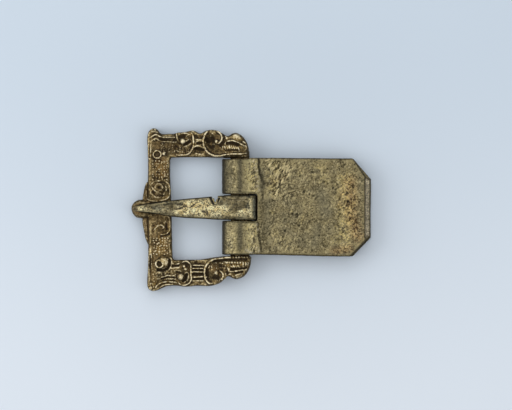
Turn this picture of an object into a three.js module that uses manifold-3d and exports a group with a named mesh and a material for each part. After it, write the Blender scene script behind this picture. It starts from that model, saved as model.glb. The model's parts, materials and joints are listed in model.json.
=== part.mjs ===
// A strap buckle of cast copper alloy with a scrolled frame, a folded plate and a tongue, in millimetres.
// X runs from the tongue's tip to the plate's end, Y across the strap and Z up through the front face.
// The pieces are drawn round the hinge axis, at X 0 and Y 0, with Z 0 at the underside, and the whole
// is then moved so that the origin is the middle of the underside.
import * as THREE from 'three';
import { mergeVertices } from 'three/addons/utils/BufferGeometryUtils.js';
import Module from 'manifold-3d';

// Driving dimensions of the plate
const leafWidth = 25;
const plateReach = 32.6;
const backLeafExtra = 1.35;
const sheetThickness = 0.75;
const strapGap = 3.05;
const loopSlack = 1.2;
const loopInset = 0.3;
const creaseSetback = 0.2;
const frontCornerCut = 3.9;
const backCornerCut = 4.7;

// Driving dimensions of the frame
const barWidth = 5.07;
const barThickness = 3.2;
const windowLength = 17.8;
const frontBarWidth = 6.1;
const frameHeight = 3.6;
const headCover = 0.9;
const upperArmWidth = 6.3;
const lowerArmWidth = 7.6;
const upperHeadOverhang = 2.3;
const lowerHeadOverhang = 2.75;
const lipReach = 4.3;
const lipWidth = 4.6;
const edgeRound = 0.9;
const footRound = 0.35;

// Driving dimensions of the tongue
const tongueWidth = 6.4;
const tongueTipWidth = 2.7;
const hookThickness = 0.75;
const hookSlack = 0.9;
const hookSeam = 0.6;
const bladeThickness = 1.7;
const tongueTipThickness = 1.15;
const tongueOffset = -0.28;
const chipSetback = 6.3;
const chipWidth = 1.3;
const chipDepth = 0.9;

// Driving dimensions of the rivets
const rivetRadius = 0.8;
const rivetHeadRadius = 1.7;
const rivetHeadHeight = 0.7;
const rivetFootRadius = 1.5;
const rivetFootHeight = 0.4;
const rivetPitch = 6;
const rivetSetback = 4.15;

// Clearances between pieces
const loopPlay = 0.12;
const sidePlay = 0.21;
const slotPlay = 0.25;
const slotEndPlay = 0.15;
const seatGap = 0.3;
const rivetHoleGap = 0.3;

// One length that every cut runs past the surface it cuts
const overrun = 1;

// Relief on the casting
const ridgeRadius = 0.36;
const fineRidgeRadius = 0.24;
const ringRadius = 1.08;
const ringThickness = 0.27;

// Sizes that follow from the ones above
const loopInnerHeight = barWidth / 2 + loopPlay;
const loopInnerLength = loopInnerHeight + loopSlack;
const axisHeight = loopInnerHeight + sheetThickness;
const loopReach = loopInnerLength + sheetThickness;
const backLeafBottom = rivetHeadHeight;
const backLeafTop = backLeafBottom + sheetThickness;
const frontLeafBottom = backLeafTop + strapGap;
const frontLeafTop = frontLeafBottom + sheetThickness;
const armGap = leafWidth + 2 * sidePlay;
const headHeight = axisHeight + barThickness / 2 + headCover;
const frontFace = -(windowLength + frontBarWidth);
const frontInnerFace = -windowLength;
const lipFront = frontFace - lipReach;
const hookReach = loopInnerHeight + hookSlack + hookThickness;
const slotWidth = tongueWidth + 2 * slotPlay;
const slotEnd = hookReach + slotEndPlay;
const seatHeight = frameHeight + seatGap;

const wasm = await Module();
wasm.setup();

// A closed geometry as a solid that can be joined and cut
function solidOf(geometry) {
  const bare = geometry.clone();
  bare.deleteAttribute('normal');
  bare.deleteAttribute('uv');
  const merged = mergeVertices(bare);
  const corners = merged.index.array;
  const triVerts = [];
  for (let i = 0; i < corners.length; i += 3) {
    const [a, b, c] = corners.slice(i, i + 3);
    if (a !== b && b !== c && c !== a) triVerts.push(a, b, c);
  }
  const vertProperties = merged.attributes.position.array;
  const mesh = new wasm.Mesh({ numProp: 3, vertProperties, triVerts: new Uint32Array(triVerts) });
  return new wasm.Manifold(mesh);
}

function joined(solids) {
  return solids.reduce((whole, next) => whole.add(next));
}

function cutBy(solid, cutters) {
  return cutters.reduce((rest, cutter) => rest.subtract(cutter), solid);
}

// A solid as a named mesh
function pieceOf(name, solid, material) {
  const { vertProperties, triVerts } = solid.getMesh();
  const geometry = new THREE.BufferGeometry();
  geometry.setAttribute('position', new THREE.BufferAttribute(vertProperties, 3));
  geometry.setIndex(new THREE.BufferAttribute(triVerts, 1));
  const mesh = new THREE.Mesh(geometry, material);
  mesh.name = name;
  return mesh;
}

// A box given by its lowest and highest corners
function block(low, high) {
  const size = high.map((value, i) => value - low[i]);
  const middle = high.map((value, i) => (value + low[i]) / 2);
  return solidOf(new THREE.BoxGeometry(...size).translate(...middle));
}

// A closed skin over a row of rings of points, each with as many points as the next
function skin(rings) {
  const count = rings[0].length;
  const positions = rings.flat().flatMap((point) => point.toArray());
  const faces = [];
  for (let ring = 0; ring < rings.length - 1; ring += 1) {
    for (let corner = 0; corner < count; corner += 1) {
      const here = ring * count + corner;
      const beside = ring * count + ((corner + 1) % count);
      faces.push(here, beside, beside + count, here, beside + count, here + count);
    }
  }
  const last = (rings.length - 1) * count;
  for (let corner = 1; corner < count - 1; corner += 1) {
    faces.push(0, corner + 1, corner, last, last + corner, last + corner + 1);
  }
  const geometry = new THREE.BufferGeometry();
  geometry.setAttribute('position', new THREE.Float32BufferAttribute(positions, 3));
  geometry.setIndex(faces);
  return solidOf(geometry);
}

// A side section, drawn with its own height upwards, pulled out to a width across Y and centred on middle
function acrossStrap(shape, width, middle) {
  const geometry = new THREE.ExtrudeGeometry(shape, { depth: width, bevelEnabled: false });
  return solidOf(geometry.rotateX(Math.PI / 2).translate(0, middle + width / 2, 0));
}

function mix(from, to, share) {
  return from + (to - from) * share;
}

// The value at a place in a table of places and values, in a straight line from each to the next
function valueAt(table, place) {
  const after = Math.max(table.findIndex(([next]) => next >= place), 1);
  const [nearPlace, nearValue] = table[after - 1];
  const [farPlace, farValue] = table[after];
  return mix(nearValue, farValue, (place - nearPlace) / (farPlace - nearPlace));
}

// A smooth step from 0 to 1
function easeShare(share) {
  const held = Math.min(Math.max(share, 0), 1);
  return held * held * (3 - 2 * held);
}

// The strip that a path's points make when the sheet is laid along them, as a closed outline
function stripShape(points, thickness) {
  const sides = [[], []];
  points.forEach((point, i) => {
    const before = points[Math.max(i - 1, 0)];
    const after = points[Math.min(i + 1, points.length - 1)];
    const normal = new THREE.Vector2(before.y - after.y, after.x - before.x).setLength(thickness / 2);
    sides[0].push(point.clone().add(normal));
    sides[1].push(point.clone().sub(normal));
  });
  return new THREE.Shape([...sides[0], ...sides[1].reverse()]);
}

// The ring of points round one section of the casting, between two edges and up to a top, with its
// lower corners eased and its upper ones rounded
function castRing(inner, outer, top, toPoint) {
  const mostRoundShare = 0.45;
  const round = Math.min(edgeRound, (outer - inner) * mostRoundShare);
  const foot = Math.min(footRound, (outer - inner) * mostRoundShare);
  const roundSteps = 3;
  const corners = [[inner, foot], [inner + foot, 0], [outer - foot, 0], [outer, foot]];
  for (const side of [1, -1]) {
    const centre = side > 0 ? outer - round : inner + round;
    for (let step = 0; step <= roundSteps; step += 1) {
      const turn = (Math.PI / 2) * (side > 0 ? step / roundSteps : 1 - step / roundSteps);
      corners.push([centre + side * round * Math.cos(turn), top - round + round * Math.sin(turn)]);
    }
  }
  return corners.map(([across, up]) => toPoint(across, up));
}

// A raised ridge through points, sunk to its middle in what carries it
function ridge(points, radius, steps, sides = 6) {
  const section = new THREE.Shape();
  section.absarc(0, 0, radius, 0, 2 * Math.PI);
  const extrudePath = new THREE.CatmullRomCurve3(points);
  const geometry = new THREE.ExtrudeGeometry(section, { steps, extrudePath, curveSegments: sides });
  return solidOf(geometry);
}

function ball(centre, radius) {
  const sides = 10;
  const levels = 7;
  return solidOf(new THREE.SphereGeometry(radius, sides, levels).translate(...centre.toArray()));
}

function ringRidge(centre) {
  const sectionSides = 6;
  const sides = 16;
  const geometry = new THREE.TorusGeometry(ringRadius, ringThickness, sectionSides, sides);
  return solidOf(geometry.translate(...centre.toArray()));
}

// One arm of the frame. Its outline and its ornament are shares of its length, from the front face to the
// head's end, and of its width, from the inner edge outwards.
function armSolids({ side, width, overhang, outlineShares, innerShares, ornament }) {
  const length = overhang - frontFace;
  const headStartShare = 0.6;
  const headFullShare = 0.82;
  const topAt = (along) => {
    const rise = easeShare((along - headStartShare) / (headFullShare - headStartShare));
    return mix(frameHeight, headHeight, rise);
  };
  const place = ([along, out]) =>
    new THREE.Vector3(frontFace + along * length, side * (armGap / 2 + out * width), topAt(along));

  // The head's nose drops over its last two sections
  const noseDropShares = [0.62, 0.8];
  const rings = outlineShares.map(([along, out], i) => {
    const dropShare = noseDropShares[outlineShares.length - 1 - i] ?? 1;
    const inner = valueAt(innerShares, along) * width;
    const toPoint = (across, up) =>
      new THREE.Vector3(frontFace + along * length, side * (armGap / 2 + across), up);
    const points = castRing(inner, out * width, topAt(along) * dropShare, toPoint);
    return side > 0 ? points : points.reverse();
  });

  const solids = [skin(rings)];
  for (const { shares, fine, steps } of ornament.ridges) {
    const path = shares.map((share) => place(share));
    solids.push(ridge(path, fine ? fineRidgeRadius : ridgeRadius, steps));
  }
  for (const { share, sizeShare } of ornament.balls) {
    solids.push(ball(place(share), ridgeRadius * sizeShare));
  }
  for (const share of ornament.rings) {
    solids.push(ringRidge(place(share)));
  }
  const { firstShare, lastShare, leanShare, heightShare, count } = ornament.teeth;
  for (let tooth = 0; tooth < count; tooth += 1) {
    const share = tooth / (count - 1);
    const foot = [mix(firstShare[0], lastShare[0], share), mix(firstShare[1], lastShare[1], share)];
    const tip = [foot[0] + leanShare, foot[1] + heightShare];
    solids.push(ridge([place(foot), place(tip)], fineRidgeRadius, 1));
  }
  return solids;
}

const upperArm = {
  side: 1,
  width: upperArmWidth,
  overhang: upperHeadOverhang,
  innerShares: [[0, 0], [1, 0]],
  outlineShares: [
    [0, 0.92], [0.02, 1.12], [0.045, 1.18], [0.09, 1.18], [0.12, 1], [0.21, 0.95], [0.28, 1], [0.38, 1.04],
    [0.44, 1.08], [0.5, 0.97], [0.58, 1.11], [0.66, 1.1], [0.7, 1.06], [0.745, 0.95], [0.79, 0.88],
    [0.84, 0.96], [0.88, 0.99], [0.92, 0.91], [0.97, 0.66], [0.99, 0.45], [1, 0.3],
  ],
  ornament: {
    ridges: [
      { shares: [[0.05, 0.9], [0.12, 0.82], [0.2, 0.84], [0.28, 0.9]], fine: true, steps: 6 },
      { shares: [[0.04, 0.72], [0.12, 0.64], [0.2, 0.68], [0.27, 0.74]], fine: true, steps: 6 },
      { shares: [[0.3, 0.98], [0.285, 0.8], [0.3, 0.64], [0.335, 0.62]], steps: 7 },
      {
        shares: [
          [0.435, 1], [0.45, 0.84], [0.457, 0.62], [0.45, 0.4], [0.42, 0.2], [0.37, 0.1], [0.32, 0.08],
        ],
        steps: 10,
      },
      { shares: [[0.46, 0.74], [0.555, 0.74]], fine: true, steps: 1 },
      { shares: [[0.46, 0.6], [0.555, 0.6]], fine: true, steps: 1 },
      { shares: [[0.46, 0.44], [0.555, 0.44]], steps: 1 },
      {
        shares: [
          [0.6, 1.04], [0.567, 0.88], [0.56, 0.66], [0.57, 0.42], [0.605, 0.22], [0.66, 0.09], [0.74, 0.07],
          [0.86, 0.12], [0.97, 0.14],
        ],
        steps: 16,
      },
      {
        shares: [[0.655, 1.04], [0.71, 0.98], [0.737, 0.82], [0.72, 0.64], [0.685, 0.56], [0.66, 0.62]],
        steps: 10,
      },
      { shares: [[0.78, 0.64], [0.85, 0.66], [0.92, 0.56], [0.98, 0.42]], steps: 7 },
    ],
    balls: [
      { share: [0.35, 0.69], sizeShare: 1.7 },
      { share: [0.68, 0.68], sizeShare: 1.5 },
      { share: [0.165, 0.14], sizeShare: 1.3 },
    ],
    rings: [[0.09, 0.13]],
    teeth: {
      firstShare: [0.78, 0.33],
      lastShare: [0.9, 0.31],
      leanShare: 0.015,
      heightShare: 0.17,
      count: 5,
    },
  },
};

const lowerArm = {
  side: -1,
  width: lowerArmWidth,
  overhang: lowerHeadOverhang,
  innerShares: [[0, 0.17], [0.47, 0.15], [0.59, 0.1], [0.72, 0.02], [1, 0]],
  outlineShares: [
    [0, 1.1], [0.02, 1.18], [0.06, 1.22], [0.12, 1.13], [0.17, 1.04], [0.27, 1.01], [0.39, 1.07],
    [0.47, 1.05], [0.55, 1.04], [0.65, 1.01], [0.71, 0.93], [0.742, 0.81], [0.78, 0.71], [0.83, 0.77],
    [0.868, 0.81], [0.91, 0.76], [0.95, 0.66], [0.975, 0.53], [0.99, 0.4], [1, 0.28],
  ],
  ornament: {
    ridges: [
      { shares: [[0.06, 1.02], [0.14, 0.9], [0.22, 0.88], [0.28, 0.9]], fine: true, steps: 6 },
      { shares: [[0.08, 0.82], [0.15, 0.72], [0.24, 0.68], [0.3, 0.7]], fine: true, steps: 6 },
      { shares: [[0.2, 0.5], [0.28, 0.42], [0.33, 0.44]], fine: true, steps: 5 },
      {
        shares: [
          [0.385, 0.22], [0.415, 0.38], [0.415, 0.64], [0.42, 0.8], [0.39, 0.94], [0.345, 1], [0.3, 0.92],
        ],
        steps: 11,
      },
      { shares: [[0.43, 0.37], [0.55, 0.37]], fine: true, steps: 1 },
      { shares: [[0.43, 0.55], [0.55, 0.55]], fine: true, steps: 1 },
      { shares: [[0.43, 0.74], [0.55, 0.74]], steps: 1 },
      {
        shares: [
          [0.97, 0.09], [0.86, 0.1], [0.76, 0.09], [0.665, 0.14], [0.6, 0.28], [0.56, 0.46], [0.55, 0.66],
          [0.56, 0.83], [0.6, 0.95], [0.64, 0.94],
        ],
        steps: 17,
      },
      { shares: [[0.66, 0.5], [0.71, 0.54], [0.73, 0.68], [0.71, 0.8]], steps: 7 },
      { shares: [[0.8, 0.55], [0.87, 0.6], [0.93, 0.54], [0.97, 0.4]], steps: 7 },
    ],
    balls: [
      { share: [0.32, 0.77], sizeShare: 2.2 },
      { share: [0.355, 0.5], sizeShare: 1.3 },
      { share: [0.675, 0.62], sizeShare: 1.9 },
      { share: [0.17, 0.24], sizeShare: 1.9 },
    ],
    rings: [[0.11, 0.33]],
    teeth: { firstShare: [0.8, 0.38], lastShare: [0.9, 0.24], leanShare: 0.03, heightShare: 0.13, count: 5 },
  },
};

// The tongue's half width, from its tip at share 0 to the hinge axis at share 1
function tongueHalfWidth(share) {
  const fullWidthShare = 0.86;
  const taper = 1.3;
  return mix(tongueTipWidth, tongueWidth, Math.min(share / fullWidthShare, 1) ** taper) / 2;
}

const tongueTip = lipFront + footRound;

// The place of an X along the tongue, as a share of its length
function tongueShareAt(x) {
  return (x - tongueTip) / -tongueTip;
}

// The bar under the tongue's tip, with its side bulges, its lip and its two scrolled panels
function frontBarSolids() {
  const bulgeReachShare = 0.22;
  const bulgeReach = frontBarWidth * bulgeReachShare;
  const lowerInner = armGap / 2 + lowerArmWidth * lowerArm.innerShares[0][1];
  const lowEnd = -(armGap / 2 + lowerArmWidth);
  const highEnd = armGap / 2 + upperArmWidth;
  const bulgeShares = [
    [0, 0], [0.12, 0], [0.24, 0], [0.27, 0.6], [0.33, 1], [0.46, 0.9], [0.5, 0.6], [0.58, 0.85], [0.64, 0.85],
    [0.68, 0.4], [0.72, 0], [0.86, 0], [1, 0],
  ];
  const rings = bulgeShares.map(([along, bulge]) => {
    const y = mix(lowEnd, highEnd, along);
    const toPoint = (across, up) => new THREE.Vector3(frontInnerFace - across, y, up);
    return castRing(0, frontBarWidth + bulge * bulgeReach, frameHeight, toPoint);
  });

  const lipShape = new THREE.Shape();
  const lipShiftShare = 0.08;
  const lipMiddle = tongueOffset - lipWidth * lipShiftShare;
  const lipRound = lipWidth / 2;
  lipShape.moveTo(frontInnerFace - edgeRound, lipMiddle - lipRound);
  lipShape.lineTo(lipFront + lipRound, lipMiddle - lipRound);
  lipShape.absarc(lipFront + lipRound, lipMiddle, lipRound, -Math.PI / 2, -1.5 * Math.PI, true);
  lipShape.lineTo(frontInnerFace - edgeRound, lipMiddle + lipRound);
  const bevel = footRound;
  const lipBody = new THREE.ExtrudeGeometry(lipShape, {
    depth: frameHeight - 2 * bevel,
    bevelThickness: bevel,
    bevelSize: bevel,
    bevelOffset: -bevel,
    bevelSegments: 1,
    curveSegments: 8,
  }).translate(0, 0, bevel);

  // Each panel runs from the tongue's edge to the arm's inner edge
  const edge = tongueHalfWidth(tongueShareAt(frontInnerFace)) + seatGap + ridgeRadius;
  const panels = [
    { from: tongueOffset + edge, to: armGap / 2 },
    { from: tongueOffset - edge, to: -lowerInner },
  ];
  const place = ({ from, to }, [across, along]) =>
    new THREE.Vector3(frontFace + across * frontBarWidth, mix(from, to, along), frameHeight);
  const scrollShares = [
    [[0.12, 0.03], [0.4, 0], [0.7, 0.03], [0.9, 0.13]],
    [
      [0.12, 0.3], [0.3, 0.42], [0.6, 0.44], [0.84, 0.34], [0.8, 0.22], [0.5, 0.17], [0.34, 0.27],
      [0.52, 0.33],
    ],
  ];
  const scrollSteps = [6, 14];
  const scrolls = panels.flatMap((panel) =>
    scrollShares.map((shares, i) => {
      const path = shares.map((share) => place(panel, share));
      return ridge(path, fineRidgeRadius, scrollSteps[i]);
    }),
  );
  return [skin(rings), solidOf(lipBody), ...scrolls];
}

// The strap bar between the heads, an oval in section
function strapBarSolid() {
  const rootShare = 0.3;
  const low = -(armGap / 2 + lowerArmWidth * rootShare);
  const high = armGap / 2 + upperArmWidth * rootShare;
  const sides = 20;
  const geometry = new THREE.CylinderGeometry(1, 1, 1, sides);
  geometry.scale(barWidth / 2, high - low, barThickness / 2);
  return solidOf(geometry.translate(0, (low + high) / 2, axisHeight));
}

function frameSolid() {
  return joined([
    ...armSolids(upperArm),
    ...armSolids(lowerArm),
    ...frontBarSolids(),
    strapBarSolid(),
  ]);
}

// The line that the middle of the folded sheet follows, seen from the side, from the front leaf's end
// over and round the bar to the back leaf's end
function plateLine() {
  const halfSheet = sheetThickness / 2;
  const frontLevel = frontLeafBottom + halfSheet;
  const backLevel = backLeafBottom + halfSheet;
  const crease = loopReach + creaseSetback;
  const reach = loopInnerLength + halfSheet;
  const rise = loopInnerHeight + halfSheet;
  const bendShare = 0.5;
  const bend = crease * bendShare;
  const line = new THREE.Path();
  line.moveTo(crease + halfSheet, frontLevel);
  line.bezierCurveTo(crease - bend, frontLevel, bend, axisHeight + rise, 0, axisHeight + rise);
  line.absellipse(0, axisHeight, reach, rise, Math.PI / 2, 1.5 * Math.PI);
  line.bezierCurveTo(bend, axisHeight - rise, crease - bend, backLevel, crease + halfSheet, backLevel);
  const bendSteps = 10;
  return [
    new THREE.Vector2(plateReach, frontLevel),
    ...line.getPoints(bendSteps),
    new THREE.Vector2(plateReach + backLeafExtra, backLevel),
  ];
}

// The three-cornered cutters that take the two corners off a leaf's end
function cornerCutters(end, cut, low, high) {
  return [-1, 1].map((side) => {
    const edge = side * (leafWidth / 2);
    const shape = new THREE.Shape([
      new THREE.Vector2(end - cut - overrun, edge + side * overrun),
      new THREE.Vector2(end + overrun, edge - side * (cut + overrun)),
      new THREE.Vector2(end + overrun, edge + side * overrun),
    ]);
    const geometry = new THREE.ExtrudeGeometry(shape, { depth: high - low, bevelEnabled: false });
    return solidOf(geometry.translate(0, 0, low));
  });
}

const rivetLine = plateReach - rivetSetback;
const rivetPlaces = [
  { name: 'rivet_upper', y: rivetPitch },
  { name: 'rivet_middle', y: 0 },
  { name: 'rivet_lower', y: -rivetPitch },
];

function platePart() {
  const sheet = acrossStrap(stripShape(plateLine(), sheetThickness), leafWidth, 0);
  const left = -(loopReach + overrun);
  const gapMiddle = backLeafTop + strapGap / 2;
  const below = -overrun;
  const above = axisHeight + loopReach + overrun;
  const slot = block(
    [left, tongueOffset - slotWidth / 2, below],
    [slotEnd, tongueOffset + slotWidth / 2, above],
  );
  const insets = [-1, 1].map((side) => {
    const inner = side * (leafWidth / 2 - loopInset);
    const outer = side * (leafWidth / 2 + overrun);
    return block([left, Math.min(inner, outer), below], [loopReach, Math.max(inner, outer), above]);
  });
  const holeSides = 16;
  const holes = rivetPlaces.map(({ y }) => {
    const radius = rivetRadius + rivetHoleGap;
    const hole = new THREE.CylinderGeometry(radius, radius, sheetThickness + 2 * overrun, holeSides);
    return solidOf(hole.rotateX(Math.PI / 2).translate(rivetLine, y, backLeafBottom + sheetThickness / 2));
  });
  return cutBy(sheet, [
    slot,
    ...insets,
    ...holes,
    ...cornerCutters(plateReach, frontCornerCut, gapMiddle, above),
    ...cornerCutters(plateReach + backLeafExtra, backCornerCut, below, gapMiddle),
  ]);
}

// A rivet's foot is fixed under the front leaf, and its end is hammered to a dome under the back leaf
function rivetSolid(y) {
  const domeSteps = 3;
  const profile = [new THREE.Vector2(0, 0)];
  for (let step = 1; step <= domeSteps; step += 1) {
    const turn = (Math.PI / 2) * (step / domeSteps);
    profile.push(new THREE.Vector2(rivetHeadRadius * Math.sin(turn), backLeafBottom * (1 - Math.cos(turn))));
  }
  profile.push(
    new THREE.Vector2(rivetRadius, backLeafBottom),
    new THREE.Vector2(rivetRadius, frontLeafBottom - rivetFootHeight),
    new THREE.Vector2(rivetFootRadius, frontLeafBottom - rivetFootHeight),
    new THREE.Vector2(rivetFootRadius, frontLeafBottom),
    new THREE.Vector2(0, frontLeafBottom),
  );
  const sides = 14;
  return solidOf(new THREE.LatheGeometry(profile, sides).rotateX(Math.PI / 2).translate(rivetLine, y, 0));
}

// The tongue: a blade that rests on the lip, and a hook that its other end makes round the bar, open by
// a seam under the blade's root
function tongueSolid() {
  const half = hookThickness / 2;
  const hookLineReach = hookReach - half;
  const hookLineRise = loopInnerHeight + half;
  const tipTop = seatHeight + tongueTipThickness;
  const rootTop = axisHeight + hookLineRise + half;

  // How far the blade's top has risen, and how thick it is, from the tip to the hinge axis
  const riseShares = [
    [0, 0], [0.05, 0.17], [0.28, 0.34], [0.46, 0.48], [0.62, 0.63], [0.76, 0.78], [0.87, 0.92], [1, 1],
  ];
  const thickestShare = 0.8;
  const bladeTop = (share) => mix(tipTop, rootTop, valueAt(riseShares, share));
  const bladeBottom = (share) => {
    const body = mix(tongueTipThickness, bladeThickness, easeShare(share / thickestShare));
    const thinned = mix(body, hookThickness, easeShare((share - thickestShare) / (1 - thickestShare)));
    return Math.max(seatHeight, bladeTop(share) - thinned);
  };

  // How full the blade's width is at each ring, from the rounded tip to the hinge axis
  const roundedShares = [
    [0, 0.45], [0.015, 0.78], [0.05, 0.96], [0.12, 1], [0.28, 1], [0.46, 1], [0.62, 1], [0.76, 1],
    [0.87, 1], [0.94, 1], [1, 1],
  ];
  const footShare = 0.75;
  const shoulderShare = 0.5;
  const tipCrestShare = 0.3;
  const rootCrestShare = 0.86;
  const rings = roundedShares.map(([share, rounded]) => {
    const x = mix(tongueTip, 0, share);
    const width = tongueHalfWidth(share) * rounded;
    const top = bladeTop(share);
    const bottom = bladeBottom(share);
    const shoulder = mix(bottom, top, shoulderShare);
    const crest = width * mix(tipCrestShare, rootCrestShare, easeShare(share));
    const foot = width * footShare;
    const corners = [
      [-width, shoulder], [-foot, bottom], [foot, bottom], [width, shoulder], [crest, top], [-crest, top],
    ];
    return corners.map(([across, up]) => new THREE.Vector3(x, tongueOffset + across, up));
  });

  // The hook's end stops one seam short of the blade's underside
  const hookEndHeight = bladeBottom(tongueShareAt(-hookLineReach)) - hookSeam;
  const seamTurn = Math.asin((hookEndHeight - axisHeight) / hookLineRise);
  const hook = new THREE.Path();
  hook.absellipse(0, axisHeight, hookLineReach, hookLineRise, Math.PI / 2, -Math.PI - seamTurn, true);
  const hookSteps = 24;
  const hookStrip = stripShape(hook.getPoints(hookSteps), hookThickness);
  const hookSolid = acrossStrap(hookStrip, tongueWidth, tongueOffset);

  const chipSides = 4;
  const chip = new THREE.CylinderGeometry(1, 1, 1, chipSides).rotateX(Math.PI / 2);
  chip.scale(chipWidth / 2, chipDepth, 2 * axisHeight + overrun);
  chip.translate(-chipSetback, tongueOffset + tongueWidth / 2, axisHeight);
  return hookSolid.add(skin(rings)).subtract(solidOf(chip));
}

const castBronze = new THREE.MeshStandardMaterial({ color: 0x66573c, roughness: 0.6, metalness: 0.7 });
const wornBrass = new THREE.MeshStandardMaterial({ color: 0x8f8160, roughness: 0.5, metalness: 0.8 });
const dullBrass = new THREE.MeshStandardMaterial({ color: 0x7b7254, roughness: 0.6, metalness: 0.7 });
const rustedIron = new THREE.MeshStandardMaterial({ color: 0x5b3a26, roughness: 0.9, metalness: 0.3 });

const buckle = new THREE.Group();
buckle.add(pieceOf('frame', frameSolid(), castBronze));
buckle.add(pieceOf('tongue', tongueSolid(), wornBrass));
buckle.add(pieceOf('strap_plate', platePart(), dullBrass));
for (const { name, y } of rivetPlaces) {
  buckle.add(pieceOf(name, rivetSolid(y), rustedIron));
}

// The origin goes to the middle of the underside
const extent = new THREE.Box3().setFromObject(buckle);
const middle = extent.getCenter(new THREE.Vector3());
buckle.position.set(-middle.x, -middle.y, -extent.min.z);

export default buckle;
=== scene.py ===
import json
import math
import random

import bpy
import numpy as np
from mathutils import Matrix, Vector


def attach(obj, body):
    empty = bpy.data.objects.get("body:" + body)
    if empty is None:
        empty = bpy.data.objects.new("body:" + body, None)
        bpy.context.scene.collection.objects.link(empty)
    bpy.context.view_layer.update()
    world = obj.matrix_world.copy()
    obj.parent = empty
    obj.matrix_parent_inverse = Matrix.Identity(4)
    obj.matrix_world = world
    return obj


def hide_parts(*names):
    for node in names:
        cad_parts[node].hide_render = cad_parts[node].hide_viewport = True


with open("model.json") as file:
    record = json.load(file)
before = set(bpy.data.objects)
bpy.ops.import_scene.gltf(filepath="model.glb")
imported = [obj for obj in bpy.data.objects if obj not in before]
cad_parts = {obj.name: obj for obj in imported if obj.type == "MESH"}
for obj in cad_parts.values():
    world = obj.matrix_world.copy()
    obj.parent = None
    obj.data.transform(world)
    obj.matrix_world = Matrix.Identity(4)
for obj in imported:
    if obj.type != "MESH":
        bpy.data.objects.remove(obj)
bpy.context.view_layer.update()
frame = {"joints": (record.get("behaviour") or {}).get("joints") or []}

# The buckle is modelled in millimetres and shrunk to metres at the end. The stage is made in metres.
# The photograph looks straight down, and one of its pixels is a quarter of a millimetre or so.
metres = 0.001
pixel = 0.26
hinge_px = (240.05, 206.4)
hinge = Vector(frame["joints"][0]["pos_m"]) / metres

# Heights of the casting's ground, on the front bar and on the two heads, and the pixel columns where it
# rises to the heads and drops to their noses
ground_low = 3.3
ground_high = 5.55
head_start_px = 208
head_full_px = 230
nose_start_px = 241
nose_end_px = 251
nose_drop = 0.9


def ease(share):
    """A smooth step from 0 to 1."""
    held = np.clip(share, 0, 1)
    return held * held * (3 - 2 * held)


def ground(px):
    """The height of the casting's ground at a pixel column."""
    rise = ease((px - head_start_px) / (head_full_px - head_start_px))
    nose = ease((px - nose_start_px) / (nose_end_px - nose_start_px))
    return ground_low + (ground_high - ground_low) * rise - nose_drop * nose


def at(px, py, z=0.0):
    """The place of a pixel, in millimetres."""
    return Vector((hinge.x + (px - hinge_px[0]) * pixel, hinge.y + (hinge_px[1] - py) * pixel, z))


def on_ground(px, py, lift):
    """The place of a pixel, lifted above the casting's ground."""
    return at(px, py, float(ground(px)) + lift)


def columns_of(places):
    """The pixel columns of some places."""
    return hinge_px[0] + (places[:, 0] - hinge.x) / pixel


def pick(*objects):
    """Selects these objects alone. The first one is the active one."""
    bpy.ops.object.select_all(action="DESELECT")
    for each in objects:
        each.select_set(True)
    bpy.context.view_layer.objects.active = objects[0]


def add_to_scene(name, data):
    """A new object with this shape."""
    made = bpy.data.objects.new(name, data)
    bpy.context.scene.collection.objects.link(made)
    return made


def copied(pattern):
    """A copy of an object, with a mesh of its own."""
    return add_to_scene(pattern.name, pattern.data.copy())


def change(piece, kind, **settings):
    """Adds a modifier to a piece and applies it."""
    pick(piece)
    modifier = piece.modifiers.new(kind.lower(), kind)
    for key, value in settings.items():
        setattr(modifier, key, value)
    bpy.ops.object.modifier_apply(modifier=modifier.name)


def apply_place(piece, location=(0, 0, 0), turn=(0, 0, 0), scale=(1, 1, 1)):
    """Puts a piece in a place and keeps that place in its mesh."""
    pick(piece)
    piece.location = location
    piece.rotation_euler = turn
    piece.scale = scale
    bpy.ops.object.transform_apply(location=True, rotation=True, scale=True)


def joined(pieces):
    """Joins pieces into the first one."""
    pick(*pieces)
    bpy.ops.object.join()
    return bpy.context.object


def cut(piece, cutter):
    """Takes a cutter's shape out of a piece."""
    change(piece, "BOOLEAN", operation="DIFFERENCE", solver="EXACT", object=cutter)
    bpy.data.objects.remove(cutter)


def box(low, high):
    """A plain block between two corners, used as a cutter or as a core."""
    low, high = Vector(low), Vector(high)
    bpy.ops.mesh.primitive_cube_add(size=1, location=(low + high) / 2, scale=high - low)
    bpy.ops.object.transform_apply(location=True, rotation=True, scale=True)
    return bpy.context.object


def new_curve(name, **settings):
    """An empty curve."""
    data = bpy.data.curves.new(name, "CURVE")
    for key, value in settings.items():
        setattr(data, key, value)
    return data


def add_line(data, places, kinds, closed=False):
    """Adds a smooth line to a curve, with a kind of handle for each place, and gives its points."""
    spline = data.splines.new("BEZIER")
    spline.bezier_points.add(len(places) - 1)
    spline.use_cyclic_u = closed
    for point, place, kind in zip(spline.bezier_points, places, kinds):
        point.co = place
        point.handle_left_type = kind
        point.handle_right_type = kind
    return spline.bezier_points


def as_mesh(name, data):
    """A curve's shape as a mesh object."""
    pick(add_to_scene(name, data))
    bpy.ops.object.convert(target="MESH")
    return bpy.context.object


def slab(name, smooth_places, corner_places, height, rounding):
    """A flat slab on the ground with rounded edges. Its outline runs smoothly through the first places,
    which are pixels, and in straight lines through the others."""
    fullness = 0.1
    data = new_curve(
        name,
        dimensions="2D",
        fill_mode="BOTH",
        resolution_u=5,
        bevel_depth=rounding,
        bevel_resolution=3,
        offset=fullness - rounding,
        extrude=height / 2 - rounding,
    )
    places = [at(*place) for place in smooth_places + corner_places]
    add_line(data, places, ["AUTO"] * len(smooth_places) + ["VECTOR"] * len(corner_places), closed=True)
    piece = as_mesh(name, data)
    apply_place(piece, location=(0, 0, height / 2))
    return piece


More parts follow.
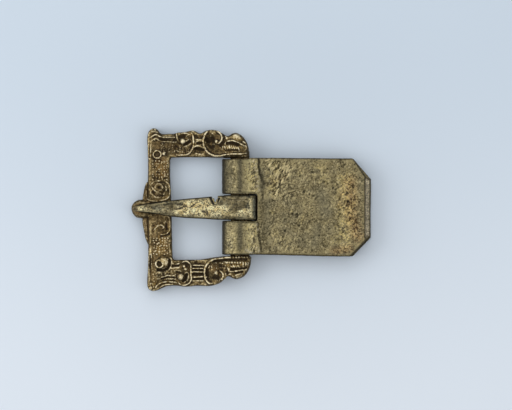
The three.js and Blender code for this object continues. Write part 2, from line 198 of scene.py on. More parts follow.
def ridges(lines):
    """Round ridges on the casting. Each line is a radius, a lift above the ground and the pixels that it
    follows."""
    end_share = 0.55
    settings = {"resolution_u": 5, "bevel_depth": 1, "bevel_resolution": 3, "use_fill_caps": True}
    data = new_curve("ridges", dimensions="3D", **settings)
    for radius, lift, places in lines:
        points = add_line(data, [on_ground(px, py, lift) for px, py in places], ["AUTO"] * len(places))
        for point in points:
            point.radius = radius
        points[0].radius = radius * end_share
        points[-1].radius = radius * end_share
    return as_mesh("ridges", data)


def knobs(places):
    """Round knobs on the casting. Each is a pixel, a radius and a lift above the ground."""
    bpy.ops.mesh.primitive_uv_sphere_add(segments=18, ring_count=12, radius=1)
    pattern = bpy.context.object
    made = []
    for px, py, radius, lift in places:
        knob = copied(pattern)
        knob.location = on_ground(px, py, lift)
        knob.scale = (radius, radius, radius)
        made.append(knob)
    bpy.data.objects.remove(pattern)
    return made


def rings(places):
    """Round rings on the casting. Each is a pixel, the ring's radius, its wire's radius and its lift."""
    made = []
    for px, py, radius, wire, lift in places:
        bpy.ops.mesh.primitive_torus_add(
            location=on_ground(px, py, lift),
            major_radius=radius,
            minor_radius=wire,
            major_segments=40,
            minor_segments=12,
        )
        made.append(bpy.context.object)
    return made


def rows_of(piece, name):
    """The places, named co, or the directions, named normal, of a piece's vertices, as rows."""
    values = np.empty(len(piece.data.vertices) * 3)
    piece.data.vertices.foreach_get(name, values)
    return values.reshape(-1, 3)


def set_places(piece, places):
    """Moves a piece's vertices."""
    piece.data.vertices.foreach_set("co", places.ravel())
    piece.data.update()


def distance_to(places, line):
    """How far each place is from a line of pixels, seen from above, in millimetres."""
    least_reach = 1e-9
    points = [at(*place).xy for place in line]
    nearest = np.full(len(places), np.inf)
    for start, end in zip(points, points[1:] or points):
        along = np.array(end - start)
        reach = max(float(along @ along), least_reach)
        share = np.clip((places[:, :2] - np.array(start)) @ along / reach, 0, 1)
        gap = places[:, :2] - np.array(start) - share[:, None] * along
        nearest = np.minimum(nearest, np.hypot(gap[:, 0], gap[:, 1]))
    return nearest


def press(piece, marks, floor):
    """Presses marks into a piece's upper side, above a floor. Each mark is a radius, a depth, which is
    negative for a bump, and the pixels it follows."""
    least_up = 0.15
    roundness = 1.5
    places = rows_of(piece, "co")
    upper = np.flatnonzero((rows_of(piece, "normal")[:, 2] > least_up) & (places[:, 2] > floor))
    lowered = np.zeros(len(upper))
    for radius, depth, line in marks:
        share = distance_to(places[upper], line) / radius
        lowered += depth * np.clip(1 - share * share, 0, 1) ** roundness
    places[upper, 2] -= lowered
    set_places(piece, places)


def roughen(piece, bumps):
    """Gives a piece an uneven skin. The bumps have about these widths and depths."""
    for width, depth in bumps:
        texture = bpy.data.textures.new("skin", "CLOUDS")
        texture.noise_scale = width
        texture.noise_depth = 2
        texture.noise_type = "SOFT_NOISE"
        change(piece, "DISPLACE", texture=texture, strength=depth, mid_level=0.5, texture_coords="LOCAL")
        bpy.data.textures.remove(texture)


def cast(piece, grain, smoothing=0):
    """Melts a piece's forms into one skin of small faces, and smooths it a number of times."""
    change(piece, "REMESH", mode="VOXEL", voxel_size=grain)
    if smoothing:
        change(piece, "SMOOTH", factor=0.5, iterations=smoothing)


def neighbour_mean(piece):
    """A function that takes a number for each vertex, and gives each the mean of its neighbours'."""
    edges = np.empty(len(piece.data.edges) * 2, np.int32)
    piece.data.edges.foreach_get("vertices", edges)
    starts, ends = edges.reshape(-1, 2).T
    count = len(piece.data.vertices)
    degree = np.bincount(starts, minlength=count) + np.bincount(ends, minlength=count)

    def mean(values):
        return (np.bincount(starts, values[ends], count) + np.bincount(ends, values[starts], count)) / degree

    return mean


def smoothed(places, mean, rounds):
    """The places after they are drawn to the middle of their neighbours a number of times."""
    for _ in range(rounds):
        places = np.stack([mean(column) for column in places.T], axis=1)
    return places


def set_mark(piece, name, values):
    """Keeps one number for each vertex, for the materials to read."""
    attribute = piece.data.attributes.new(name, "FLOAT", "POINT")
    attribute.data.foreach_set("value", values.astype(np.float32))


def mark_relief(piece, fine_full, broad_full, side_rounds=0, level_enough=0.93, steep_enough=0.45):
    """Marks how far each vertex stands proud of what is round it: 0 in a hollow, 1 on a crest. Marks the
    steep sides too: 0 on a face that looks straight up or down, 1 on a wall. That mark spreads a little
    over the edges, by a number of rounds."""
    fine_rounds = 8
    broad_rounds = 60
    side_gain = 1.8
    mean = neighbour_mean(piece)
    places, normals = rows_of(piece, "co"), rows_of(piece, "normal")
    fine = smoothed(places, mean, fine_rounds)
    broad = smoothed(fine, mean, broad_rounds)
    for name, level, full in (("crest", fine, fine_full), ("rise", broad, broad_full)):
        proud = ((places - level) * normals).sum(axis=1)
        set_mark(piece, name, np.clip(0.5 + proud / (2 * full), 0, 1))
    # The materials paint the side mark as shade on walls, with some dark patina.
    steep = ease((level_enough - np.abs(normals[:, 2])) / (level_enough - steep_enough))
    side = steep
    for _ in range(side_rounds):
        side = mean(side)
    set_mark(piece, "side", np.clip(np.maximum(side * side_gain, steep), 0, 1))


def mark_near(piece, spots_by_mark):
    """Marks the parts of a piece near some pixels. Each spot is a radius, a strength and the pixels it
    follows."""
    places = rows_of(piece, "co")
    for name, spots in spots_by_mark.items():
        values = np.zeros(len(places))
        for radius, strength, line in spots:
            share = distance_to(places, line) / radius
            values = np.maximum(values, strength * ease(1 - share))
        set_mark(piece, name, values)


def settle(piece, name, material, body, node):
    """Brings a finished piece to metres, paints it and puts it in its node's place. Nothing is left under
    the floor."""
    places = rows_of(piece, "co")
    places[:, 2] = np.maximum(places[:, 2], 0)
    set_places(piece, places)
    piece.name = name
    piece.data.name = name
    piece.data.materials.clear()
    piece.data.materials.append(material)
    apply_place(piece, scale=(metres, metres, metres))
    bpy.ops.object.shade_smooth()
    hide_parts(node)
    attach(piece, body)


# The casting's outline, as pixels: round the upper head, along the upper arm, down the front bar, along
# the lower arm and round the lower head
outer_edge = [
    (247.6, 156.6), (248.3, 151), (247.9, 146.6), (246.4, 142.2), (243.8, 138.3), (240.2, 134.8),
    (236.3, 133.2), (232.2, 133.9), (228.6, 136.4), (225.4, 135.6), (221.4, 133.2), (217.9, 131.2),
    (213.5, 130.2), (207.6, 130.5), (203.5, 132.2), (199.7, 133.7), (196.5, 132.2), (192.5, 130.6),
    (188.3, 131.4), (183.3, 132.4), (177.2, 132.8), (174.5, 133.8), (169.7, 134), (160.8, 133.9),
    (159.1, 133.1), (157.4, 130.3), (154.8, 128.7), (151.9, 128.8), (149.4, 130.5), (147.7, 135),
    (147.9, 150), (148.1, 165), (148, 180), (148.3, 215), (148.4, 245), (148.2, 258), (147.9, 270),
    (147.4, 282), (147.9, 287.6), (150.4, 290.3), (154.2, 290.9), (158, 289.8), (161.5, 288.1),
    (165.8, 286.5), (172, 285.5), (177.5, 285.5), (183, 286.6), (188.5, 286.5), (196, 285.5), (204.5, 286),
    (212, 285.5), (217.5, 283.8), (221.6, 281.5), (224.5, 278.6), (228.1, 275.9), (232, 277.8),
    (236.7, 278.9), (240.8, 277.6), (244.3, 275.6), (247.4, 271.9), (249.6, 267), (250.5, 261.5),
    (250.2, 256.8),
]
inner_edge = [
    (240, 256.4), (228, 256.6), (221, 257.1), (214, 258), (207.9, 259.2), (200, 260.2), (185, 260.4),
    (172.2, 260.5), (171.6, 252), (171.2, 230), (170.8, 214), (170, 190), (169.3, 176), (169.4, 165),
    (169.4, 157), (185, 156.8), (204.5, 156.7), (214, 157), (228, 157.4), (240, 157.4),
]

# The two low bulges at the front bar's outer side, and the lip under the tongue's tip
upper_bulge = [
    (156, 179), (150.5, 181), (146.6, 182.8), (144.6, 187.5), (143.4, 193), (142.7, 200.5), (143.5, 205),
    (156, 206),
]
lower_bulge = [
    (156, 212), (143.5, 213), (142.4, 218.5), (143.4, 228), (144.6, 235), (146.3, 240.5), (149.5, 246),
    (156, 249),
]
lip = [
    (158, 201), (146, 200.9), (139.5, 200.3), (134.6, 202.3), (131.9, 206), (131.6, 209.8), (133.2, 214),
    (136.6, 217.1), (141, 217.8), (146, 217.2), (158, 217),
]

# Radii of the carved ridges
bold = 0.3
middling = 0.25
fine = 0.2
faint = 0.17

# The ridges of each part of the casting: radius, lift above its ground and pixels
upper_arm_ridges = [
    (middling, 0.05, [(150.6, 137.4), (152.6, 135.8), (155.8, 134.6), (159, 136), (161.4, 137.1),
                      (168, 137.3), (174.6, 137.4)]),
    (middling, 0.02, [(151.4, 141), (153, 139.6), (155.8, 138.6), (158.8, 140), (162, 141.2), (168, 141.4),
                      (176, 142)]),
    (fine, -0.08, [(150.6, 142), (150.4, 150), (150.4, 158)]),
    (bold, 0.05, [(151, 131.9), (154.5, 131.3), (158.2, 132.8)]),
    (bold, 0.08, [(176.4, 132.8), (176.6, 136), (177.6, 139.2), (179.6, 142), (181.8, 142.8)]),
    (middling, 0.02, [(181, 133.2), (184.4, 133), (188, 134), (190.2, 136)]),
    (middling, 0.16, [(182.6, 141.4), (185.6, 141), (188.6, 139.4)]),
    (fine, 0.1, [(186, 136.4), (188.4, 134.6), (190.4, 134)]),
    (bold, 0.1, [(190.8, 132), (192.4, 134.8), (193.1, 138), (193.5, 141.7), (193.1, 146.4), (191.8, 149.7),
                 (189.6, 152.8), (186, 154.6), (181.4, 155), (176, 155)]),
    (fine, 0.1, [(163.9, 150), (164.2, 153), (165.6, 155.8)]),
    (fine, 0.1, [(161.2, 153.8), (164, 153.2), (167, 153.8)]),
    (middling, 0.08, [(194, 139.4), (198.5, 139.8), (203.2, 139.9)]),
    (faint, 0.06, [(202.4, 141.9), (196.6, 141.8), (195.8, 143.1), (196.6, 144.2), (202.6, 144.2)]),
    (bold, 0.1, [(193.6, 147.4), (196.4, 145.8), (200, 146), (203.2, 147.8)]),
]
upper_head_ridges = [
    (bold, 0.12, [(207.6, 131.2), (205.4, 133.5), (204, 136.7), (203.1, 140.3), (203.4, 143.9),
                  (204.3, 147.1), (206.6, 151), (210.1, 153.9), (214.4, 155.5), (219, 155.9),
                  (223.1, 155.2), (226.4, 154.4)]),
    (middling, 0.05, [(225.6, 154.6), (231.7, 154), (237.1, 154), (242.4, 153.8), (246.6, 153.2)]),
    (bold, 0.14, [(216, 131), (219, 132.4), (221.2, 134.6), (222.2, 137.4), (221.6, 139.8), (220.3, 141.8),
                  (218, 143.3), (215.6, 142.9), (214.6, 141.2)]),
    (faint, -0.04, [(211, 132.6), (213.5, 134.4), (215.6, 136.6)]),
    (middling, 0.1, [(226.4, 141.8), (229.9, 140.8), (232.8, 140.8), (235.3, 141.8), (237.8, 142.6),
                     (239.9, 143.7), (242.1, 144.7), (244.4, 146)]),
    (fine, 0.05, [(243.2, 141.6), (245, 143), (246.4, 145.2)]),
    (faint, 0.05, [(225.3, 151.8), (232, 151.2), (240, 151.2), (246.4, 150.8)]),
    (fine, 0.02, [(222, 150.2), (222.6, 147.6), (224.4, 145.4)]),
]
front_bar_ridges = [
    (middling, -0.02, [(150.4, 184.6), (152.8, 188.4), (155.6, 191.2), (158.8, 192.4)]),
    (middling, 0, [(150.6, 184.6), (153.6, 182), (158.4, 180.8), (164, 181), (168, 183.6), (169.6, 188),
                   (169.8, 193), (168.6, 196.6)]),
    (fine, 0, [(155.8, 189.8), (154.8, 187), (156, 184.6), (158.8, 183.8), (161.6, 185), (162.6, 187.6),
               (161.6, 190)]),
    (fine, -0.04, [(163.4, 184.4), (165.8, 187), (165.8, 190.4), (163.6, 193)]),
    (fine, 0, [(169.4, 194.2), (168.4, 197), (166.4, 199), (163, 200), (159, 200.8)]),
    (fine, 0.02, [(146.6, 198.6), (149, 200), (152.4, 201), (156.4, 201.2)]),
    (fine, 0.02, [(148, 217), (149, 215.6), (150.4, 215.2), (151.6, 216.2)]),
    (fine, 0, [(166.6, 215.8), (168.8, 217.4), (169.6, 221), (169.9, 226)]),
    (middling, 0, [(169.9, 225), (169.4, 230), (167.4, 233), (164, 234.4), (160.6, 234.8)]),
    (middling, 0.08, [(154.2, 229.8), (156, 227.2), (158.6, 225.6), (161.6, 225.4), (163.4, 227.2),
                      (162.4, 229)]),
    (faint, -0.08, [(154, 231.6), (157.6, 232.4), (161.4, 231.4)]),
    (faint, -0.04, [(168.9, 237), (169.2, 246), (169.6, 255)]),
    (fine, -0.06, [(150.8, 248), (151, 256), (151.2, 263), (151.2, 270)]),
    (fine, -0.04, [(148.8, 262), (148.8, 272), (149, 281)]),
]
lower_arm_ridges = [
    (faint, 0.04, [(169, 264.4), (173, 264), (176.6, 264.4), (180, 262.8)]),
    (middling, 0.12, [(181.9, 262.2), (186.4, 261.3), (189, 263), (190.7, 265.8), (190.7, 268.6),
                      (190.9, 272), (190.9, 275.4), (191.3, 277.8), (190.6, 280.8), (188.8, 283.4),
                      (186.1, 284.9), (183.1, 285.2), (179.8, 284), (177.6, 281.6)]),
    (fine, 0.05, [(160.4, 278.2), (164, 276.8), (168.3, 275.6), (171.1, 276), (176, 275.6)]),
    (middling, 0.1, [(155.4, 287.8), (157.2, 285.4), (159.6, 283.7), (164, 282.1), (168.3, 281),
                     (171.2, 281.8), (175.1, 282.3), (177.2, 283.1)]),
    (fine, 0.04, [(159.6, 287.8), (162, 286), (164.7, 285), (168.6, 284.6), (173, 284.6)]),
    (fine, 0.02, [(149.6, 286.4), (151, 283.4), (152.8, 284.6), (153.4, 288)]),
    (faint, 0, [(155.2, 271.4), (154.2, 275.2), (155.4, 279.2)]),
    (faint, 0.02, [(168.6, 267.4), (172, 268.4), (175.6, 268)]),
    (faint, 0, [(163.6, 272.4), (168, 272.6), (172, 272.2)]),
    (faint, 0, [(164, 279.6), (169, 278.2), (175.6, 279)]),
    (fine, 0.1, [(191.4, 265.4), (197, 265.4), (204.8, 265.8)]),
    (fine, 0.06, [(191.4, 268.6), (197, 268.5), (204.4, 268.8)]),
    (fine, 0.1, [(191.4, 271.8), (197, 271.9), (204.4, 272.2)]),
    (middling, 0.1, [(191.4, 277.4), (196, 277.2), (200, 276.9), (204.4, 276.4)]),
    (faint, 0, [(192.4, 281.2), (197, 280.8), (203, 281.2)]),
    (fine, 0.04, [(182.4, 265.4), (184.8, 266.8), (185.6, 269.6)]),
]
lower_head_ridges = [
    (bold, 0.12, [(212.6, 283.6), (209, 283.2), (206.2, 280.5), (204.8, 276.9), (204.4, 272.5),
                  (204.9, 268.8), (206.2, 265.5), (208.9, 262.5), (211.2, 260.8), (213.5, 259.6),
                  (218.2, 258.9), (222.6, 258.4), (226.3, 257.6), (229.3, 257.4)]),
    (bold, 0.12, [(219.4, 270.6), (221.6, 271.6), (223.1, 273.8), (223.2, 276.2), (221.8, 278.4),
                  (219.4, 279.6)]),
    (middling, 0.05, [(223.4, 261.6), (226.3, 262.2), (229.3, 262.7)]),
    (fine, 0.1, [(243.2, 261.8), (243.2, 263.6), (243, 265.4)]),
    (middling, 0.1, [(245.6, 261.8), (245.8, 263.8), (245.6, 265.8)]),
    (fine, 0.1, [(248, 262.2), (248, 263.8), (247.8, 265.4)]),
    (fine, 0.08, [(230, 271.6), (235.2, 271.2), (239.7, 270.4), (244.6, 269.6)]),
    (bold, -0.02, [(235.4, 275.4), (238.6, 274.2), (242.4, 273.4)]),
    (faint, 0, [(212.8, 263.4), (217.6, 262.4), (222, 263.6)]),
]

# The ridges on the low bulges, which lie under the casting's ground
bulge_drop = -0.72
low_ridges = [
    (fine, bulge_drop, [(148.4, 185.4), (146.5, 189.1), (146, 194), (146.6, 198.6)]),
    (fine, bulge_drop, [(145.5, 217), (145.9, 224), (146.4, 231), (147.4, 236)]),
]

# Rows of small beads: the first and the last one's pixel, how many they are, and their radius
bead_rows = [
    ((230.6, 257.4), (247.2, 257.2), 7, 0.27),
    ((226.6, 262.6), (240.4, 262.6), 6, 0.25),
    ((219.4, 281), (225.2, 278), 3, 0.22),
]

# Rows of slanted teeth: the pixel where each one starts, and how far it runs across and down
upper_teeth = [
    (224.6, 146), (226.8, 145.6), (229, 145.5), (231.2, 145.5), (233.4, 145.7), (235.6, 146),
    (237.8, 146.6),
]
upper_tooth_step = (1.2, 3.8)
lower_teeth = [(230.4, 265.2), (232.8, 265), (235.2, 265), (237.6, 265)]
lower_tooth_step = (2.0, 2.5)

# Round knobs: a pixel, a radius and a lift above the ground
knob_places = [
    (154.6, 130.2, 0.45, 0), (182.6, 141.2, 0.84, 0), (164, 153.4, 0.56, 0.1), (216.2, 141.6, 0.6, 0.16),
    (172.6, 147.4, 0.22, 0.05), (172.6, 152.4, 0.22, 0.05), (162.6, 143.9, 0.22, 0.05),
    (154.2, 139.6, 0.26, 0.15), (180.6, 277, 0.95, 0), (163.6, 261.8, 1.9, -1.05),
    (159.4, 263.9, 1.6, -1.15), (184, 266.4, 0.42, 0.08), (185.4, 269.4, 0.42, 0.08),
    (216.8, 273, 0.62, 0.2), (150.4, 288, 0.5, 0), (206.6, 277, 0.25, 0.2), (204.9, 270.2, 0.3, 0.1),
    (192, 272.6, 0.26, 0.1), (245, 148, 0.2, 0.02),
]

# Rings: a pixel, the ring's radius, its wire's radius and a lift above the ground
ring_places = [
    (157, 154.4, 1.0, 0.22, 0.12), (159.4, 263.9, 0.96, 0.24, 0.42), (158.6, 275.7, 0.85, 0.1, 0.05),
    (158.8, 187.3, 0.8, 0.1, 0.05), (244.8, 147.9, 0.5, 0.14, 0.07),
]

# Fields that are sunk between the ridges, grooves beside them, and swellings, which have a depth below
# nothing: radius, depth and the pixels they follow
sunk = [
    (0.8, 0.35, [(157, 154.4)]), (0.72, 0.7, [(159.4, 263.9)]), (0.5, 0.1, [(158.3, 275.9)]),
    (0.5, 0.3, [(158.8, 187.3)]), (0.5, 0.25, [(152.6, 192), (156, 195.4), (162, 195.6)]),
    (0.7, 0.22, [(161, 139.4), (174, 139.8)]), (0.6, 0.35, [(180.4, 136.6), (184, 136.2)]),
    (0.5, 0.35, [(184.4, 144.4), (187, 143.6), (189.8, 141.4)]),
    (1.1, 0.8, [(208.6, 139.4), (211.8, 140.2)]), (0.9, 0.5, [(208.8, 143.4), (211.6, 146.6)]),
    (0.8, 0.2, [(209, 134.6), (213, 137)]), (0.5, 0.35, [(227, 143.6), (232, 143), (238.6, 144.8)]),
    (0.4, 0.25, [(226, 150.8), (238, 150.6)]),
    (0.5, 0.3, [(222.8, 133.8), (224.4, 138), (223.6, 142.4), (220.6, 145.6)]),
    (0.9, 0.25, [(176, 147), (185, 150)]), (0.8, 0.35, [(196, 150.4), (201, 151.2)]),
    (0.4, 0.3, [(197, 143.1), (202, 143.1)]), (0.45, 0.35, [(196, 148.4), (203, 149.8)]),
    (0.6, 0.25, [(196.6, 136.4), (202, 136.4)]), (0.5, 0.18, [(164.4, 190.6), (162, 193)]),
    (0.35, 0.2, [(149.3, 143), (149.1, 157)]), (0.4, 0.18, [(160, 203), (150, 203)]),
    (0.6, 0.16, [(153.4, 226), (152.8, 232)]), (0.5, 0.25, [(166, 224), (166.4, 229)]),
    (0.35, 0.22, [(161, 236.2), (166, 235.6), (169.4, 233.6)]), (0.35, 0.3, [(149.9, 256), (150, 268)]),
    (0.45, 0.5, [(169.6, 260), (169.6, 264.8), (167.4, 268.8), (162.8, 270.6), (157.6, 270)]),
    (0.45, 0.3, [(162, 279), (167, 277.4), (174, 277.8)]), (0.45, 0.3, [(163, 280.4), (174, 280.6)]),
    (0.45, 0.3, [(172.6, 266), (178.4, 265.8)]), (0.4, 0.25, [(176.6, 272), (180, 272.6)]),
    (0.5, 0.5, [(183, 281), (185.8, 278.6), (186.6, 274.6)]), (0.3, 0.3, [(193, 266.9), (203, 267)]),
    (0.3, 0.3, [(193, 270.2), (203, 270.2)]), (0.4, 0.35, [(193, 274.2), (203, 274.4)]),
    (0.35, 0.3, [(193, 279.2), (203.4, 279)]), (0.6, 0.25, [(196, 262.6), (203, 263)]),
    (0.5, 0.25, [(207.4, 270), (207.6, 276)]), (0.6, 0.3, [(213.6, 277.6), (218, 278)]),
    (0.5, 0.2, [(220, 265.4), (226, 267)]),
    (0.3, 0.3, [(231, 269.4), (237, 268.9), (242.6, 268.2), (246.6, 267.8)]),
    (0.4, 0.3, [(235.4, 273), (242.4, 271.6)]), (0.5, 0.35, [(214.5, 261.2), (226, 259.8), (246, 259.6)]),
    (0.5, 0.35, [(226, 269.4), (227.6, 273.4)]), (0.3, 0.3, [(153.4, 129.6)]), (0.3, 0.3, [(156.6, 130.4)]),
    (0.35, 0.3, [(165.8, 153.8)]), (2.2, -0.5, [(215.6, 271)]), (2.6, -0.28, [(158, 191), (162, 191)]),
    (1.8, -0.2, [(157, 220), (163, 220)]), (1.6, -0.45, [(236.8, 138.6)]), (1.3, -0.3, [(238.6, 274.8)]),
    (1.4, -0.2, [(157, 154.4), (163, 154)]),
]

# Grounds filled with small grains: the pixel box, how many columns and rows, and the grains' radius
grain_fields = [
    ((151.8, 160, 168.6, 180.4), 6, 8, 0.3),
    ((152.4, 237, 168.4, 255), 6, 7, 0.31),
    ((159.4, 144.6, 190, 153), 11, 4, 0.22),
    ((207.6, 262.6, 226, 269), 7, 3, 0.22),
    ((152, 270, 176, 283), 8, 5, 0.2),
]

# How strongly the casting is dull, golden, dark, bare of bronze's brown and coppery near some pixels: radius,
# strength and the pixels. The golden marks are partly painted highlights on the tops of knobs, domes and
# rings, and the dark marks are painted shade along the outlines and in the hollows
frame_wear_and_painted_light = {
    "dull": [
        (1.6, 0.7, [(158, 195)]), (2.2, 0.8, [(158.8, 187)]), (1.6, 0.6, [(157, 219)]),
        (1.6, 0.4, [(160, 229)]), (3, 1, [(136, 205), (136, 212)]), (1.6, 0.7, [(146, 190), (145, 230)]),
        (2, 0.5, [(160, 140), (172, 140)]), (1.2, 0.5, [(154, 131)]),
        (0.6, 0.8, [(148.4, 160), (148.6, 250)]), (0.6, 0.8, [(170.4, 160), (171.6, 256)]),
        (2, 0.5, [(165, 146), (186, 150)]), (2.2, 0.3, [(160, 163), (160, 176)]),
        (2.2, 0.2, [(160, 241), (161, 252)]),
    ],
    "gold": [
        (1.3, 1, [(163.8, 260.6)]), (0.7, 1, [(182.4, 140.8)]), (0.6, 1, [(216.2, 141.4)]),
        (0.6, 1, [(164, 153.4)]), (0.8, 0.9, [(180.2, 276.4)]), (0.7, 1, [(216.8, 272.8)]),
        (0.5, 0.9, [(221.8, 272), (222.6, 277)]), (1.2, 0.8, [(225, 147.6), (239, 148)]),
        (1.0, 0.8, [(236, 138), (241, 139)]), (0.9, 0.9, [(228, 264), (247, 263.6)]),
        (0.8, 0.8, [(236, 274.8), (243, 273.6)]), (0.6, 0.7, [(184, 266), (186, 270)]),
        (0.6, 0.6, [(186, 134.6), (190, 134)]),
        (0.5, 0.6, [(208.9, 262.5), (213.5, 259.6), (222.6, 258.4), (247, 257.2)]),
        (0.9, 1, [(155, 228.6), (158.6, 225.6), (162.6, 226.4)]),
        (0.5, 0.7, [(169.8, 222), (169, 231), (162, 234.8)]),
        (0.5, 0.2, [(155, 187), (158.8, 183.8), (162.6, 187.6)]), (1.1, 0.7, [(150, 286), (154, 284)]),
        (0.8, 0.6, [(158, 283.6), (176, 282)]), (0.5, 0.6, [(150, 200), (157, 201)]),
        (0.5, 0.6, [(163, 200), (169.4, 195)]), (0.5, 0.7, [(148.4, 216), (151, 215.4)]),
        (1.8, 0.5, [(160, 164), (160, 176)]), (2, 0.9, [(161, 240), (161, 252)]),
    ],
    "dark": [
        (0.5, 0.9, [(145.2, 183), (142.6, 190), (141.8, 200.6)]),
        (0.5, 0.9, [(141.6, 218), (143, 230), (146, 242), (149, 247)]),
        (0.34, 0.8, [(149, 206), (148.9, 214)]), (3, 0.22, [(159, 188)]), (3, 0.24, [(159, 224)]),
        (0.4, 0.8, [(134, 201.4), (131, 206), (131.2, 211), (133.6, 215.8)]),
        (0.34, 0.7, [(147.4, 220), (148.2, 232), (148.8, 246)]), (0.4, 0.7, [(147.2, 182), (147.6, 198)]),
        (0.4, 0.5, [(150.6, 262), (150.6, 284)]), (0.5, 0.5, [(161.4, 217.4), (168.6, 219.6)]),
        (0.7, 0.8, [(181, 134.8), (186, 135.2)]), (1.0, 0.7, [(208.6, 141), (212.6, 140.6)]),
        (0.6, 0.6, [(208, 146), (211, 150)]),
    ],
    "bare": [
        (0.9, 1, [(157, 154.4)]), (0.9, 1, [(159.4, 263.9)]),
    ],
    "copper": [
        (2.2, 0.9, [(160, 163), (161, 172)]), (2, 0.7, [(161, 240), (161, 250)]), (1.2, 0.6, [(138, 213)]),
        (1.6, 0.5, [(212, 268), (216, 274)]), (1.5, 0.4, [(180, 276)]),
    ],
}


def grains():
    """Small bumps, scattered evenly over the grain fields."""
    draw = random.Random(7)
    jitter = 0.26
    height_share = 0.72
    least_size, most_size = 0.75, 1.2
    marks = []
    for (left, top, right, bottom), columns, rows, radius in grain_fields:
        for column in range(columns):
            for row in range(rows):
                across = (column + 0.5 + draw.uniform(-jitter, jitter)) / columns
                down = (row + 0.5 + draw.uniform(-jitter, jitter)) / rows
                place = (left + (right - left) * across, top + (bottom - top) * down)
                size = radius * draw.uniform(least_size, most_size)
                marks.append((size, -size * height_share, [place]))
    return marks


def bead_places():
    """The beads of each row, as knobs."""
    lift = 0.08
    made = []
    for (left, top), (right, bottom), count, radius in bead_rows:
        for i in range(count):
            share = i / (count - 1)
            made.append((left + (right - left) * share, top + (bottom - top) * share, radius, lift))
    return made


def tooth_ridges():
    """The teeth of both heads, as short ridges."""
    lift = 0.16
    rows = [(upper_teeth, upper_tooth_step), (lower_teeth, lower_tooth_step)]
    return [
        (middling, lift, [(px, py), (px + right / 2, py + down / 2), (px + right, py + down)])
        for starts, (right, down) in rows
        for px, py in starts
    ]


def raise_heads(piece):
    """Stretches the casting's body upwards to the height of its ground."""
    places = rows_of(piece, "co")
    places[:, 2] *= ground(columns_of(places)) / ground_low
    set_places(piece, places)


def strap_bar():
    """The bar between the heads that the plate and the tongue turn on, an oval in section."""
    half_width = 2.48
    half_height = 1.55
    reach_up = 14.4
    reach_down = 14.8
    bpy.ops.mesh.primitive_cylinder_add(
        vertices=64,
        radius=1,
        depth=reach_up + reach_down,
        location=(hinge.x, hinge.y + (reach_up - reach_down) / 2, hinge.z),
        rotation=(math.pi / 2, 0, 0),
        scale=(half_width, half_height, 1),
    )
    return bpy.context.object


def make_frame(material):
    """The casting: a front bar with a lip, two scrolled arms that end in beast heads, and the strap bar."""
    body_grain, skin_grain = 0.3, 0.125
    most_faces = 190000
    body_rounding, bulge_rounding, lip_rounding = 0.62, 0.5, 1.1
    bulge_height, lip_height = 2.6, 3.35
    relief_floor = 2.2
    bumps = [(2.6, 0.16), (0.55, 0.07)]
    arm_ridges = upper_arm_ridges + lower_arm_ridges
    head_ridges = upper_head_ridges + lower_head_ridges + tooth_ridges()
    body = slab("casting", outer_edge, inner_edge, ground_low, body_rounding)
    cast(body, body_grain)
    raise_heads(body)
    piece = joined([
        body,
        slab("upper_bulge", upper_bulge, [], bulge_height, bulge_rounding),
        slab("lower_bulge", lower_bulge, [], bulge_height, bulge_rounding),
        slab("lip", lip, [], lip_height, lip_rounding),
        ridges(arm_ridges + head_ridges + front_bar_ridges + low_ridges),
        strap_bar(),
        *knobs(knob_places + bead_places()),
        *rings(ring_places),
    ])
    cast(piece, skin_grain, smoothing=2)
    press(piece, sunk + grains(), relief_floor)
    roughen(piece, bumps)
    faces = sum(len(face.vertices) - 2 for face in piece.data.polygons)
    if faces > most_faces:
        change(piece, "DECIMATE", ratio=most_faces / faces)
    mark_relief(piece, fine_full=0.075, broad_full=0.45)
    mark_near(piece, frame_wear_and_painted_light)
    settle(piece, "cast_frame", material, "frame", "frame")


# The tongue from its tip to its root: the pixel column, the middle's pixel row, half the width, and the
# heights of the top and of the underside
tongue_stations = [
    (133.3, 208.7, 0.25, 4.3, 3.8), (134.2, 208.7, 0.5, 4.62, 3.8), (136, 208.6, 0.72, 4.98, 3.86),
    (139, 208.4, 0.92, 5.26, 3.96), (142, 208.3, 1.08, 5.38, 4.06), (145, 208.2, 1.24, 5.42, 4.15),
    (152, 208.1, 1.46, 5.5, 4.25), (160, 208.1, 1.72, 5.61, 4.32), (171, 208.5, 2.12, 5.76, 4.36),
    (185, 208.4, 2.46, 5.94, 4.41), (200, 208.1, 2.74, 6.18, 4.53), (210, 207.9, 2.93, 6.35, 4.66),
    (218, 207.8, 3.1, 6.51, 4.81), (224, 207.6, 3.15, 6.63, 5.08), (232, 207.5, 3.19, 6.74, 5.6),
    (240, 207.5, 3.2, 6.8, 6.05), (241.4, 207.5, 3.2, 6.8, 6.05),
]

# The chip in the tongue's upper edge: each bite's pixel, half length and half width
chip_bites = [(215.4, 197.4, 0.36, 1.45), (213.2, 196.6, 0.34, 0.6), (216.9, 197.4, 0.28, 0.7)]

# Nicks, dents and the long filed edges: radius, depth and pixels
tongue_marks = [
    (0.5, 0.5, [(210.6, 198), (211.6, 201.4), (213.6, 204)]), (0.3, 0.4, [(218, 201.6), (219.2, 198.6)]),
    (0.5, 0.12, [(176.4, 206.2), (181, 204.8), (185.4, 206.4)]),
    (0.3, 0.14, [(176, 209.4), (180, 208.6), (184, 206.6)]),
    (0.3, 0.12, [(190, 207.6), (194, 205), (195.6, 203.4)]), (0.6, 0.1, [(202, 211), (207, 213)]),
    (0.25, 0.08, [(228, 199.6), (246, 199.6)]), (0.25, 0.05, [(230, 207.4), (246, 207.6)]),
    (0.7, 0.1, [(152, 208), (158, 208)]), (0.35, 0.22, [(139, 205), (150, 203.6), (162, 201.8)]),
    (0.35, 0.22, [(139, 212), (150, 213.2), (162, 215)]), (0.9, 0.16, [(162, 200.6), (180, 198.4)]),
    (0.7, -0.1, [(252, 198), (251.4, 207), (252, 217)]), (1.2, -0.1, [(190, 210), (200, 209)]),
    (0.8, 0.04, [(238, 202), (239, 214)]),
]
